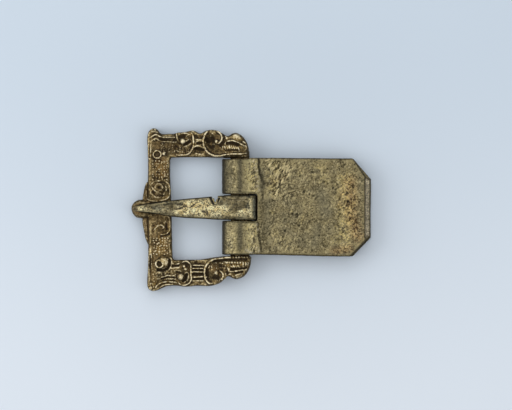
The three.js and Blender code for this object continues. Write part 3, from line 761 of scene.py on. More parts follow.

# How strongly the tongue is worn bright, cool grey, dark and brown near some pixels. The bright marks also
# paint highlights on the tip's ridge and on the hook. The dark marks are painted shade along the edges, the
# nicks and the chip. The brown marks are brown patina in the nicks and grooves, and painted shade on the
# tip's flanks.
tongue_wear_and_painted_light = {
    "rubbed_and_highlight": [
        (2.6, 1.2, [(179, 210.4), (200, 211), (214, 211), (224, 210.6)]),
        (2.6, 1.1, [(186, 205.4), (200, 204.4), (209, 204.6), (214, 207.6)]),
        (0.9, 1, [(138, 208.8), (146, 208.6)]), (1.4, 0.4, [(146, 208), (168, 209)]),
        (1.2, 1, [(241, 211.4), (249, 211)]), (0.7, 0.9, [(250.3, 199), (250.5, 216)]),
        (0.8, 0.7, [(230, 214.6), (246, 214.6)]),
    ],
    "cool": [
        (0.9, 0.8, [(154, 208), (160, 209)]), (0.9, 0.8, [(177, 204.5), (183, 205)]),
        (0.7, 0.7, [(204, 211), (209, 214)]), (0.8, 0.7, [(254.4, 199), (254.4, 217)]),
    ],
    "dark": [
        (0.42, 1, [(137, 205.4), (145, 203.8), (160, 202), (171, 200.8), (185, 199.4), (200, 198),
                   (211, 197.2)]),
        (0.5, 1, [(137, 212), (145, 212.8), (160, 214.3)]),
        (0.66, 1, [(160, 214.7), (171, 216.3), (185, 217.6), (200, 218.4), (210, 219), (224, 219.8)]),
        (0.5, 1, [(224, 219.7), (257, 219.7)]), (0.4, 1, [(219, 196.1), (257, 195.4)]),
        (0.42, 1, [(256.4, 195), (256.4, 220)]), (0.46, 1, [(211, 198), (212.4, 201.6), (213.6, 204)]),
        (0.34, 1, [(214.4, 204.4), (217, 205)]), (0.34, 1, [(218, 202.6), (219.2, 198)]),
        (0.3, 0.7, [(177.4, 208.8), (180.4, 208.6), (184.4, 206.4)]),
        (0.5, 0.5, [(177.6, 204.4), (182, 204)]), (0.26, 0.8, [(191, 207), (194, 204.6)]),
        (0.4, 0.5, [(203.6, 211), (208.6, 213)]), (1.6, 0.3, [(146, 206), (172, 206)]),
    ],
    "brown": [
        (1.2, 1, [(132.5, 208.8), (135, 208.8)]), (0.5, 0.9, [(137, 205.6), (148, 203.6), (160, 202)]),
        (0.4, 0.8, [(141, 212.2), (158, 214.4)]), (0.3, 0.9, [(176, 209.4), (180, 208.6), (184, 206.6)]),
        (0.25, 0.8, [(190, 207.6), (194, 205), (195.6, 203.4)]), (0.5, 0.8, [(203, 211), (208, 214)]),
        (0.45, 0.7, [(177, 204), (182, 204.6)]), (0.3, 0.5, [(213, 204), (215, 207), (214, 210)]),
        (0.25, 0.6, [(228, 199.6), (246, 199.6)]), (0.22, 0.4, [(230, 207.4), (246, 207.6)]),
    ],
}


def station_middle(station):
    """The place of a station's middle."""
    px, py, _, top, bottom = station
    return at(px, py, (top + bottom) / 2)


def loft(stations):
    """Pulls a rounded section along stations, by extrusion from each to the next."""
    chamfer = 0.5
    broadness = 3
    bpy.ops.mesh.primitive_plane_add(size=2)
    piece = bpy.context.object
    bpy.ops.object.mode_set(mode="EDIT")
    bpy.ops.mesh.select_all(action="SELECT")
    bpy.ops.transform.resize(value=(1, broadness, 1), center_override=(0, 0, 0))
    bpy.ops.mesh.bevel(offset=chamfer, segments=3, affect="VERTICES")
    bpy.ops.mesh.select_all(action="SELECT")
    bpy.ops.transform.resize(value=(1, 1 / broadness, 1), center_override=(0, 0, 0))
    bpy.ops.object.mode_set(mode="OBJECT")
    apply_place(piece, turn=(0, math.pi / 2, 0))
    _, _, half, top, bottom = stations[0]
    apply_place(piece, location=station_middle(stations[0]), scale=(1, half, (top - bottom) / 2))
    bpy.ops.object.mode_set(mode="EDIT")
    bpy.ops.mesh.select_all(action="SELECT")
    for before, after in zip(stations, stations[1:]):
        here, there = station_middle(before), station_middle(after)
        widen = after[2] / before[2]
        deepen = (after[3] - after[4]) / (before[3] - before[4])
        bpy.ops.mesh.extrude_region_move(TRANSFORM_OT_translate={"value": there - here})
        bpy.ops.transform.resize(value=(1, widen, deepen), center_override=there)
    bpy.ops.mesh.select_all(action="SELECT")
    bpy.ops.mesh.normals_make_consistent(inside=False)
    bpy.ops.object.mode_set(mode="OBJECT")
    return piece


def square_shoulder(piece, reach_share):
    """Fills out the hook's outer shoulder, which is squarer than an ellipse."""
    squareness = 3
    places = rows_of(piece, "co")
    out = (places[:, 0] - hinge.x) / reach_share
    up = places[:, 2] - hinge.z
    reach = np.hypot(out, up)
    across, over = out / reach, up / reach
    fuller = (np.abs(across) ** squareness + np.abs(over) ** squareness) ** (-1 / squareness)
    push = np.where((out > 0) & (up > 0), fuller, 1)
    places[:, 0] = hinge.x + out * push * reach_share
    places[:, 2] = hinge.z + up * push
    set_places(piece, places)


def tongue_hook():
    """The strip at the tongue's root, bent round the strap bar."""
    thickness = 0.72
    inner_rise = 2.68
    half_width = 3.2
    turn = math.radians(284)
    reach_share = 1.262
    steps = 56
    facing = 0.99
    middle = at(hinge_px[0], tongue_stations[-1][1]).y
    near_side, far_side = middle - half_width, middle + half_width
    top = hinge.z + inner_rise
    piece = box((hinge.x - thickness, near_side, top), (hinge.x, far_side, top + thickness))
    for face in piece.data.polygons:
        face.select = face.normal.x > facing
    for corner in piece.data.vertices:
        corner.select = corner.co.x > hinge.x - thickness / 2
    bpy.ops.object.mode_set(mode="EDIT")
    bpy.ops.mesh.spin(steps=steps, angle=-turn, center=hinge, axis=(0, 1, 0))
    bpy.ops.mesh.select_all(action="SELECT")
    bpy.ops.transform.resize(value=(reach_share, 1, 1), center_override=hinge)
    bpy.ops.mesh.normals_make_consistent(inside=False)
    bpy.ops.object.mode_set(mode="OBJECT")
    square_shoulder(piece, reach_share)
    return piece


def chip_cutters():
    """The bites of the chip in the tongue's upper edge, as five-sided posts through the blade."""
    post_lift = 3
    post_height = 12
    posts = []
    for px, py, half_length, half_width in chip_bites:
        bpy.ops.mesh.primitive_cylinder_add(vertices=5, radius=1, depth=post_height)
        post = bpy.context.object
        apply_place(post, location=at(px, py, hinge.z + post_lift), scale=(half_length, half_width, 1))
        posts.append(post)
    return posts


def make_tongue(material):
    """The tongue: a filed blade whose root is bent round the strap bar."""
    skin_grain = 0.11
    relief_floor = 4.4
    bumps = [(1.8, 0.09), (0.5, 0.035)]
    blade = loft(tongue_stations)
    for cutter in chip_cutters():
        cut(blade, cutter)
    piece = joined([blade, tongue_hook()])
    cast(piece, skin_grain, smoothing=4)
    press(piece, tongue_marks, relief_floor)
    roughen(piece, bumps)
    mark_relief(piece, fine_full=0.04, broad_full=0.25, side_rounds=4, level_enough=0.6, steep_enough=0.25)
    mark_near(piece, tongue_wear_and_painted_light)
    settle(piece, "bent_tongue", material, "tongue", "tongue")


# The folded plate, measured from the hinge axis
leaf_half_width = 12.48
sheet = 0.75
loop_inner_height = 2.655
loop_inner_length = 3.97
front_leaf_end = 32.6
back_leaf_end = 34.1
front_level = 4.875
back_level = 1.075
bend_start = 4.98
slot_half_width = 3.45
slot_end = 4.455
loop_inset = 0.3
slot_middle_px = 207.5

# Each side, and how far its front corner and its back corner are clipped, across and down
corner_clips = [(-1, (3.9, 3.9), (4.7, 4.7)), (1, (3.3, 4.8), (4.6, 5.4))]

# Pits, which have one pixel each, and long dents and swellings: radius, depth and pixels
plate_marks = [
    (0.32, 0.3, [(292.6, 213.8)]), (0.28, 0.28, [(297, 214)]), (0.3, 0.28, [(299, 225.5)]),
    (0.34, 0.3, [(285, 230.7)]), (0.25, 0.25, [(270, 213)]), (0.3, 0.3, [(333, 188)]),
    (0.34, 0.3, [(304, 191.6)]), (0.26, 0.25, [(300, 176)]), (0.25, 0.25, [(312, 172)]),
    (0.25, 0.22, [(313, 196)]), (0.28, 0.25, [(347, 193)]), (0.45, 0.3, [(348, 201.5)]),
    (0.3, 0.22, [(349, 213)]), (0.25, 0.2, [(320, 230)]), (0.25, 0.2, [(319, 236)]),
    (0.25, 0.2, [(303, 240)]), (0.3, 0.2, [(354, 208)]), (0.28, 0.25, [(353, 187)]),
    (0.28, 0.2, [(340, 198)]), (0.42, 0.3, [(258.4, 158.5), (259, 162), (258.4, 167)]),
    (0.42, 0.2, [(258.8, 168), (259.6, 171), (258.8, 174.6)]),
    (0.8, 0.12, [(260.6, 172), (263, 182), (262.4, 198)]),
    (0.6, -0.12, [(256, 160), (256.4, 168), (258.6, 178), (257.6, 190)]),
    (0.4, 0.12, [(257.6, 222), (258.2, 228)]), (0.6, 0.1, [(258.6, 230), (259.6, 238)]),
    (0.5, 0.1, [(260, 241), (261.2, 251)]), (0.6, -0.1, [(255, 224), (256.6, 236), (257.6, 250)]),
    (1.6, -0.12, [(250, 165), (250, 190)]), (1.6, -0.1, [(250, 224), (250, 250)]),
    (1.0, 0.1, [(240, 163), (240, 191)]), (1.0, 0.1, [(240, 224), (240, 250)]),
]

# Where the sheet is crumpled: the pixel box, how many creases, their strength and the way they lean, in
# degrees
crumple_fields = [
    ((265, 160, 294, 199), 110, 1, 42), ((249, 160, 258, 192), 26, 0.9, 70),
    ((262, 216, 300, 253), 70, 0.6, 40), ((294, 160, 345, 200), 60, 0.5, 50),
    ((300, 205, 345, 250), 40, 0.4, 30), ((249, 222, 259, 252), 26, 0.9, 100),
    ((226, 160, 238, 252), 24, 0.5, 85), ((335, 176, 362, 246), 50, 0.5, 60),
]

# Small painted highlights along the bend, each a pixel
bend_highlights = [
    (253.6, 161.4), (255.8, 164), (254.6, 167.4), (256.6, 170.6), (256.2, 177), (257.8, 181.4),
    (257.2, 186), (258.6, 190), (256.8, 224.6), (257.8, 229.4), (256.4, 247.6), (258.8, 251),
]

# How strongly the plate is dark, stained by rust, worn bright, calm, creased like foil and pale near some
# pixels.
# The dark marks are painted shade along the edges, the slot and the bend and on the loops' left sides and
# crowns.
# The bright marks are partly painted highlights on the loops' right sides and beside the bend. The foil marks
# paint shade into sunk folds and highlight onto raised ones. The pale mark on the back leaf's strip is
# painted light, as the strip lies in the front leaf's shadow.
plate_wear_and_painted_light = {
    "dark": [
        (0.42, 1, [(258.6, 157.7), (300, 158.1), (353.4, 158.6), (366, 177.6), (370.8, 179.4)]),
        (0.78, 1, [(222, 255), (260, 254.9), (350, 257.4), (370.8, 236.8)]),
        (0.6, 0.8, [(262, 254.4), (300, 255), (348, 256.6)]), (0.34, 1, [(364.9, 178), (364.9, 237)]),
        (0.4, 1, [(370.6, 178), (370.6, 237)]), (0.5, 0.9, [(221.6, 160), (221.6, 192)]),
        (0.5, 0.9, [(221.6, 222), (221.6, 254)]), (2.9, 0.85, [(223.6, 160), (223.6, 192)]),
        (2.9, 0.7, [(223.6, 222), (223.6, 254)]), (3.4, 0.8, [(226.6, 160), (226.6, 192)]),
        (2.6, 0.5, [(227, 222), (227, 254)]), (1.1, 0.5, [(240.5, 160), (240.5, 192)]),
        (1.1, 0.45, [(240.5, 222), (240.5, 254)]), (0.6, 1, [(258.6, 158.5), (259.6, 162), (258.8, 167)]),
        (0.5, 0.9, [(259.8, 168), (259.2, 172), (260.4, 176)]), (0.3, 0.8, [(222, 191.6), (254, 192.4)]),
        (0.9, 0.3, [(261, 172), (263, 182), (262.4, 198)]), (0.5, 0.45, [(258.4, 222), (258, 228)]),
        (0.7, 0.4, [(260, 230), (261.6, 252)]), (1.3, 0.4, [(262, 174), (264, 200)]),
        (1.4, 0.34, [(264, 200), (263, 228), (262, 250)]), (0.3, 0.9, [(222, 222.6), (257, 222.6)]),
    ],
    "stain": [
        (3.2, 1, [(350, 182), (351, 197), (351, 212), (354, 226), (357, 236)]),
        (2, 0.9, [(334, 251), (350, 248)]), (1.4, 0.8, [(348, 202)]), (1.6, 0.5, [(342, 190), (340, 206)]),
        (1.4, 0.3, [(272, 182), (284, 178)]),
    ],
    "rubbed_and_highlight": [
        (3.6, 0.8, [(276, 164), (272, 190)]), (2.2, 0.9, [(249, 164), (252, 190)]),
        (2, 0.8, [(249, 226), (251, 246)]), (2.4, 0.5, [(275, 235), (292, 250)]),
        (1.0, 1, [(271.5, 211.6)]), (4, 1.2, [(346, 180), (345, 236)]),
        (2.4, 0.6, [(318, 165), (324, 180)]), (0.8, 1, [(291, 212)]), (0.8, 0.8, [(302, 217), (299, 224)]),
        (1.2, 0.8, [(300, 174)]), (0.8, 1.4, [(255.6, 162), (257.4, 190)]),
        (0.8, 0.9, [(255, 224), (257, 250)]), (1, 0.4, [(234.5, 168), (234.5, 186)]),
        (1, 0.7, [(234.5, 232), (234.5, 246)]), (1.6, 0.6, [(226, 251), (256, 251)]),
        (2, 0.6, [(334, 240), (345, 246)]),
    ],
    "calm": [
        (3.4, 1, [(322, 196), (326, 212)]), (2.2, 1, [(262, 172), (262, 188)]),
        (2.6, 0.8, [(318, 228), (314, 244)]), (1.5, 0.9, [(240, 162), (240, 192)]),
        (1.5, 0.9, [(240, 222), (240, 252)]), (2, 0.7, [(268, 200), (268, 232)]),
        (1.2, 1, [(269, 164), (269, 200)]),
    ],
    "foil": [
        (4.2, 1, [(272, 163), (284, 170), (276, 190)]), (1.8, 0.9, [(253, 161), (254, 190)]),
        (1.6, 0.8, [(252, 226), (254, 252)]), (3, 0.6, [(270, 226), (292, 248)]),
        (2.6, 0.5, [(300, 166), (306, 184)]), (2, 0.4, [(296, 210), (302, 226)]),
        (2, 0.4, [(342, 244), (352, 250)]),
    ],
    "pale": [
        (1.1, 1.3, [(367.8, 180), (367.8, 235)]), (0.5, 0.7, [(246, 250), (252, 253)]),
    ],
}


def crumples():
    """Short creases where the sheet is battered, and faint ones all over it. Each is a radius, a strength,
    which is negative for a raised one, and the pixels it follows."""
    draw = random.Random(11)
    swing = 30
    least_share = 0.5
    least_half, most_half = 0.8, 2.8
    least_radius, most_radius = 0.2, 0.36
    marks = []
    for (left, top, right, bottom), count, strength, lean in crumple_fields:
        for _ in range(count):
            px, py = draw.uniform(left, right), draw.uniform(top, bottom)
            angle = math.radians(lean + draw.gauss(0, swing))
            half = draw.uniform(least_half, most_half)
            across, down = half * math.cos(angle), -half * math.sin(angle)
            sign = 1 if draw.random() < 0.5 else -1
            line = [(px - across, py - down), (px + across, py + down)]
            radius = draw.uniform(least_radius, most_radius)
            marks.append((radius, sign * strength * draw.uniform(least_share, 1), line))
    return marks


def mark_creases(piece, creases):
    """Marks the creases for painted highlight and shade: above a half on a raised one, below it in a pressed
    one.
    """
    places = rows_of(piece, "co")
    values = np.zeros(len(places))
    for radius, strength, line in creases:
        share = distance_to(places, line) / radius
        values -= strength * np.clip(1 - share * share, 0, 1)
    set_mark(piece, "crease", np.clip(0.5 + values / 2, 0, 1))


def folded_sheet():
    """The sheet before it is cut: a front leaf, a loop round the strap bar and a back leaf."""
    ease_share = 0.5523
    reach = loop_inner_length + sheet / 2
    rise = loop_inner_height + sheet / 2
    bend = bend_start / 2
    top, bottom = hinge.z + rise, hinge.z - rise
    front_end, front_bend = (front_leaf_end, front_level), (bend_start, front_level)
    back_end, back_bend = (back_leaf_end, back_level), (bend_start, back_level)
    # Each knot is a place and the handles before and after it
    knots = [
        (front_end, front_end, front_end),
        (front_bend, front_bend, (bend_start - bend, front_level)),
        ((0, top), (bend, top), (-reach * ease_share, top)),
        ((-reach, hinge.z), (-reach, hinge.z + rise * ease_share), (-reach, hinge.z - rise * ease_share)),
        ((0, bottom), (-reach * ease_share, bottom), (bend, bottom)),
        (back_bend, (bend_start - bend, back_level), back_bend),
        (back_end, back_end, back_end),
    ]
    data = new_curve("fold", dimensions="3D", resolution_u=16, extrude=leaf_half_width)
    points = add_line(data, [(*place, 0) for place, _, _ in knots], ["FREE"] * len(knots))
    for point, (_, before, after) in zip(points, knots):
        point.handle_left = (*before, 0)
        point.handle_right = (*after, 0)
    piece = as_mesh("fold", data)
    apply_place(piece, location=(hinge.x, hinge.y, 0), turn=(math.pi / 2, 0, 0))
    change(piece, "SOLIDIFY", thickness=sheet, offset=0, use_even_offset=True)
    return piece


def corner_cutter(end, across, down, side, low, high):
    """A turned block that takes one corner off a leaf, from a place on its long edge to one on its end."""
    length = 14
    block = box((-length / 2, -length / 2, low), (length / 2, length / 2, high))
    out = Vector((down, side * across)).normalized() * length / 2
    edge = leaf_half_width - down / 2
    place = (hinge.x + end - across / 2 + out.x, hinge.y + side * edge + out.y, 0)
    apply_place(block, location=place, turn=(0, 0, side * math.atan2(across, down)))
    return block


def plate_cutters():
    """The slot, a shaving off the upper loop's outer side, and the four clipped corners."""
    past, over = 2, 9
    shaving_end, shaving_side = 2.6, 14.5
    left = hinge.x - loop_inner_length - sheet - past
    slot_middle = at(hinge_px[0], slot_middle_px).y
    middle = (front_level + back_level) / 2
    cutters = [
        box(
            (left, slot_middle - slot_half_width, -past),
            (hinge.x + slot_end, slot_middle + slot_half_width, over),
        ),
        box(
            (left, hinge.y + leaf_half_width - loop_inset, -past),
            (hinge.x + shaving_end, hinge.y + shaving_side, over),
        ),
    ]
    for side, front_clip, back_clip in corner_clips:
        cutters.append(corner_cutter(front_leaf_end, *front_clip, side, middle, over))
        cutters.append(corner_cutter(back_leaf_end, *back_clip, side, -past, middle))
    return cutters


def lean_edges(piece):
    """Pulls the plate's long edges a little outwards, as they lie in the photograph."""
    near_px, far_px = 250, 345
    upper_out = 0.14
    lower_near_out, lower_far_out = 0.08, 0.56
    places = rows_of(piece, "co")
    along = ease((columns_of(places) - near_px) / (far_px - near_px))
    across = (places[:, 1] - hinge.y) / leaf_half_width
    places[:, 1] += np.clip(across, 0, 1) * upper_out * (1 - along)
    places[:, 1] -= np.clip(-across, 0, 1) * (lower_near_out + (lower_far_out - lower_near_out) * along)
    set_places(piece, places)


def deep_pits():
    """The dark spots in the plate's pressed pits, each as dark as its pit is deep."""
    pit_spread = 0.36
    shade_per_depth = 3.8
    pits = [mark for mark in plate_marks if len(mark[2]) == 1]
    return [(radius + pit_spread, depth * shade_per_depth, line) for radius, depth, line in pits]


def make_plate(material):
    """The plate: one sheet folded round the strap bar, with a slot for the tongue and clipped corners."""
    skin_grain = 0.2
    crease_depth = 0.07
    bumps = [(7, 0.14), (1.1, 0.07), (0.5, 0.05)]
    knot_radius, knot_strength = 0.5, 0.8
    piece = folded_sheet()
    for cutter in plate_cutters():
        cut(piece, cutter)
    cast(piece, skin_grain, smoothing=2)
    lean_edges(piece)
    creases = crumples()
    pressed = [(radius, strength * crease_depth, line) for radius, strength, line in creases]
    press(piece, plate_marks + pressed, front_level)
    roughen(piece, bumps)
    mark_relief(piece, fine_full=0.05, broad_full=0.25, side_rounds=4, level_enough=0.8, steep_enough=0.4)
    mark_creases(piece, creases)
    knots = [(knot_radius, knot_strength, [knot]) for knot in bend_highlights]
    mark_near(piece, plate_wear_and_painted_light | {
        "dark": plate_wear_and_painted_light["dark"] + deep_pits(),
        "pale": plate_wear_and_painted_light["pale"] + knots,
    })
    settle(piece, "folded_plate", material, "plate", "strap_plate")


def turned_rivet():
    """One rivet on the axis: a dome below, a shank and a foot above."""
    dome_radius = 1.66
    shank_radius = 0.78
    foot_radius = 1.45
    # The rivet's outline, as distances from its axis and heights
    outline = [
        (0, 0.03), (0.8, 0.08), (1.3, 0.24), (dome_radius, 0.6), (dome_radius, 0.69), (shank_radius, 0.7),
        (shank_radius, 4.1), (foot_radius, 4.12), (foot_radius, 4.46), (0, 4.47),
    ]
    mesh = bpy.data.meshes.new("rivet")
    edges = [(i, i + 1) for i in range(len(outline) - 1)]
    mesh.from_pydata([(out, 0, up) for out, up in outline], edges, [])
    piece = add_to_scene("rivet", mesh)
    pick(piece)
    bpy.ops.object.mode_set(mode="EDIT")
    bpy.ops.mesh.select_all(action="SELECT")
    bpy.ops.mesh.spin(steps=36, angle=2 * math.pi, center=(0, 0, 0), axis=(0, 0, 1))
    bpy.ops.mesh.select_all(action="SELECT")
    bpy.ops.mesh.remove_doubles(threshold=0.001)
    bpy.ops.mesh.normals_make_consistent(inside=False)
    bpy.ops.object.mode_set(mode="OBJECT")
    return piece


def make_rivets(material):
    """Three iron rivets, hammered to a dome under the back leaf."""
    skin_grain = 0.1
    line_x = hinge.x + 28.45
    pitch = 6
    bumps = [(0.9, 0.12), (0.3, 0.05)]
    pattern = turned_rivet()
    for name, step in (("upper", 1), ("middle", 0), ("lower", -1)):
        rivet = copied(pattern)
        apply_place(rivet, location=(line_x, hinge.y + step * pitch, 0))
        cast(rivet, skin_grain, smoothing=1)
        roughen(rivet, bumps)
        mark_relief(rivet, fine_full=0.05, broad_full=0.2)
        settle(rivet, "iron_rivet_" + name, material, "plate", "rivet_" + name)
    bpy.data.objects.remove(pattern)


class Wire:
    """What comes out of a node. A sum that is written on wires adds the nodes that work it out."""

    def __init__(self, socket):
        self.socket = socket
        self.tree = socket.id_data

    def __add__(self, other):
        return maths("ADD", self, other)

    def __sub__(self, other):
        return maths("SUBTRACT", self, other)

    def __rsub__(self, other):
        return maths("SUBTRACT", other, self)

    def __mul__(self, other):
        return maths("MULTIPLY", self, other)

    def __rtruediv__(self, other):
        return maths("DIVIDE", other, self)


def feed(node, links):
    """Gives a node's inputs their wires or values."""
    for key, value in links.items():
        if isinstance(value, Wire):
            value.tree.links.new(value.socket, node.inputs[key])
        else:
            node.inputs[key].default_value = value


def add(tree, kind, links=None, **settings):
    """Adds a shader node, and gives the wires out of it, by name."""
    node = tree.nodes.new("ShaderNode" + kind)
    for key, value in settings.items():
        setattr(node, key, value)
    feed(node, links or {})
    return {socket.name: Wire(socket) for socket in node.outputs if socket.enabled}


def maths(operation, first, second):
    """The result of a sum on two wires, or on a wire and a number."""
    tree = next(value.tree for value in (first, second) if isinstance(value, Wire))
    return add(tree, "Math", {0: first, 1: second}, operation=operation)["Value"]


def held(value):
    """A value kept from 0 to 1 by the last node that works it out."""
    value.socket.node.use_clamp = True
    return value


def larger(first, second):
    """The larger of two values."""
    return maths("MAXIMUM", first, second)


def spread(value, low, high, new_low=0.0, new_high=1.0):
    """A value spread from one range to another, with smooth ends."""
    links = {"Value": value, "From Min": low, "From Max": high, "To Min": new_low, "To Max": new_high}
    return add(value.tree, "MapRange", links, interpolation_type="SMOOTHSTEP")["Result"]


def blend(share, first, second):
    """A mix of two colours."""
    # A mix node has inputs of the same names for numbers, places and colours, so they are told by number
    share_input, first_colour_input, second_colour_input = 0, 6, 7
    links = {share_input: share, first_colour_input: first, second_colour_input: second}
    return add(share.tree, "Mix", links, data_type="RGBA")["Result"]


def shaded(base, value):
    """A colour made darker or lighter by a factor."""
    return add(value.tree, "HueSaturation", {"Value": value, "Color": base})["Color"]


def varied(base, share, low, high):
    """A colour made darker or lighter, between two factors, by a share from 0 to 1."""
    return shaded(base, spread(share, 0.0, 1.0, low, high))


def noise(place, scale, detail, roughness, distortion=0.0):
    """A cloudy pattern."""
    return add(place.tree, "TexNoise", {
        "Vector": place, "Scale": scale, "Detail": detail, "Roughness": roughness, "Distortion": distortion,
    })["Fac"]


def moved(place, operation, by):
    """Places that are moved or stretched."""
    return add(place.tree, "VectorMath", {0: place, 1: by}, operation=operation)["Vector"]


def straight(value):
    """A screen value from 0 to 255 as an amount of light from 0 to 1, by the sRGB curve."""
    share = value / 255
    return share / 12.92 if share <= 0.04045 else ((share + 0.055) / 1.055) ** 2.4


def colour(red, green, blue):
    """A colour from its screen values."""
    return (straight(red), straight(green), straight(blue), 1)


def group(name, inputs, outputs):
    """A new node group, with the wires out of its start and the node at its end. An input is a number, with
    the value that it has at first, or a place, which has none. An output is a number."""
    tree = bpy.data.node_groups.new(name, "ShaderNodeTree")
    for label, value in inputs.items():
        kind = "NodeSocketVector" if value is None else "NodeSocketFloat"
        socket = tree.interface.new_socket(name=label, in_out="INPUT", socket_type=kind)
        if value is not None:
            socket.default_value = value
    for label in outputs:
        tree.interface.new_socket(name=label, in_out="OUTPUT", socket_type="NodeSocketFloat")
    start = {socket.name: Wire(socket) for socket in tree.nodes.new("NodeGroupInput").outputs if socket.name}
    return tree, start, tree.nodes.new("NodeGroupOutput")


def skin_group():
    """Blotches, grain and specks of a metal's skin, with widths in millimetres."""
    tree, start, end = group(
        "skin",
        {"Place": None, "Width": 3.0, "Grain": 0.7},
        ["Blotch", "Second Blotch", "Grain", "Fine", "Speck"],
    )
    second_place = (17.0, 31.0, 5.0)
    wider_share, finer_share = 0.7, 2.2
    place = start["Place"]
    elsewhere = moved(place, "ADD", second_place)
    wide, small = 1.0 / start["Width"], 1.0 / start["Grain"]
    cells = add(tree, "TexVoronoi", {"Vector": elsewhere, "Scale": small, "Randomness": 1.0})
    feed(end, {
        "Blotch": spread(noise(place, wide, detail=5.0, roughness=0.65, distortion=0.5), 0.38, 0.62),
        "Second Blotch": spread(
            noise(elsewhere, wide * wider_share, detail=6.0, roughness=0.65, distortion=0.8), 0.42, 0.62
        ),
        "Grain": spread(noise(place, small, detail=2.5, roughness=0.75), 0.34, 0.66),
        "Fine": spread(noise(elsewhere, small * finer_share, detail=2.0, roughness=0.7), 0.32, 0.68),
        "Speck": spread(cells["Distance"], 0.5, 0.15),
    })
    return tree


def wear_group():
    """Where a skin is worn bright and where dirt lies, from its relief, its grain and its blotches."""
    relief = {"Crest": 0.5, "Rise": 0.5, "Side": 0.0, "Grain": 0.5, "Blotch": 0.5}
    limits = {"Side Loss": 0.3, "Low": 0.5, "High": 0.8}
    tree, start, end = group("wear", relief | limits, ["Worn", "Dirt"])
    crest_weight, rise_weight = 0.6, 0.4
    grain_weight, blotch_weight = 0.22, 0.14
    dirt_none, dirt_full = 0.44, 0.16
    proud = start["Crest"] * crest_weight + start["Rise"] * rise_weight
    uneven = (start["Grain"] - 0.5) * grain_weight + (start["Blotch"] - 0.5) * blotch_weight
    level = proud + uneven
    shown = level - start["Side"] * start["Side Loss"]
    feed(end, {
        "Worn": spread(shown, start["Low"], start["High"]),
        "Dirt": spread(level, dirt_none, dirt_full),
    })
    return tree


def pit_group():
    """Small scattered pits: a mask that is 1 in a pit."""
    floor_share = 0.45
    tree, start, end = group("pits", {"Place": None, "Spacing": 1.5, "Share": 0.3, "Size": 0.2}, ["Pit"])
    cells = add(tree, "TexVoronoi", {"Vector": start["Place"], "Scale": 1.0 / start["Spacing"]})
    drawn = add(tree, "SeparateColor", {"Color": cells["Color"]})["Red"]
    chosen = maths("LESS_THAN", drawn, start["Share"])
    feed(end, {"Pit": spread(cells["Distance"], start["Size"], start["Size"] * floor_share) * chosen})
    return tree


def scratch_group():
    """Fine scratches along one direction: a mask that is 1 in a scratch."""
    tree, start, end = group(
        "scratches", {"Place": None, "Turn": 0.0, "Width": 0.12, "Length": 3.0}, ["Scratch"]
    )
    turned = add(tree, "VectorRotate", {"Vector": start["Place"], "Axis": (0, 0, 1), "Angle": start["Turn"]})
    along, across = 1.0 / start["Length"], 1.0 / start["Width"]
    stretch = add(tree, "CombineXYZ", {"X": along, "Y": across, "Z": along})["Vector"]
    lines = noise(moved(turned["Vector"], "MULTIPLY", stretch), 1.0, detail=2.0, roughness=0.5)
    feed(end, {"Scratch": spread(lines, 0.53, 0.64)})
    return tree


groups = {"skin": skin_group(), "wear": wear_group(), "pits": pit_group(), "scratches": scratch_group()}


def place_group(name, tree, links):
    """Puts one of the shared groups in a material, and gives the wires out of it."""
    node = tree.nodes.new("ShaderNodeGroup")
    node.node_tree = groups[name]
    feed(node, links)
    return {socket.name: Wire(socket) for socket in node.outputs}


def skin_of(place, width, grain):
    """The skin group, with blotches and grain of these widths."""
    return place_group("skin", place.tree, {"Place": place, "Width": width, "Grain": grain})


def pits_of(place, spacing, share, size):
    """The pits group: how far the pits lie apart, how many there are of them and how big they are."""
    links = {"Place": place, "Spacing": spacing, "Share": share, "Size": size}
    return place_group("pits", place.tree, links)["Pit"]


def scratches_of(place, turn, width, length):
    """The scratches group: which way the scratches run, how wide and how long they are."""
    links = {"Place": place, "Turn": turn, "Width": width, "Length": length}
    return place_group("scratches", place.tree, links)["Scratch"]


def read_marks(tree, *names):
    """The marks of these names, which are kept on the vertices."""
    return [add(tree, "Attribute", attribute_name=name)["Fac"] for name in names]


def worn_marks(skin, low, high, side_loss=0.3):
    """The wear group, fed with a piece's relief. Gives where it is worn, where it is dirty and its sides."""
    tree = skin["Grain"].tree
    crest, rise, side = read_marks(tree, "crest", "rise", "side")
    wear = place_group("wear", tree, {
        "Crest": crest, "Rise": rise, "Side": side, "Grain": skin["Grain"], "Blotch": skin["Blotch"],
        "Side Loss": side_loss, "Low": low, "High": high,
    })
    return wear["Worn"], wear["Dirt"], side


def new_material(name):
    """A material, and the place of each point in millimetres."""
    material = bpy.data.materials.new(name)
    material.use_nodes = True
    tree = material.node_tree
    per_metre = 1 / metres
    links = {"Vector": add(tree, "TexCoord")["Object"], "Scale": (per_metre, per_metre, per_metre)}
    return material, add(tree, "Mapping", links)["Vector"]


def finish(material, base, rough, metal, height, bump_depth):
    """Feeds a metal's shader. The bump's depth is in millimetres."""
    bump_strength = 0.8
    bump = {"Height": height, "Distance": bump_depth * metres, "Strength": bump_strength}
    feed(material.node_tree.nodes["Principled BSDF"], {
        "Base Color": base, "Roughness": rough, "Metallic": metal,
        "Normal": add(material.node_tree, "Bump", bump)["Normal"],
    })
    return material


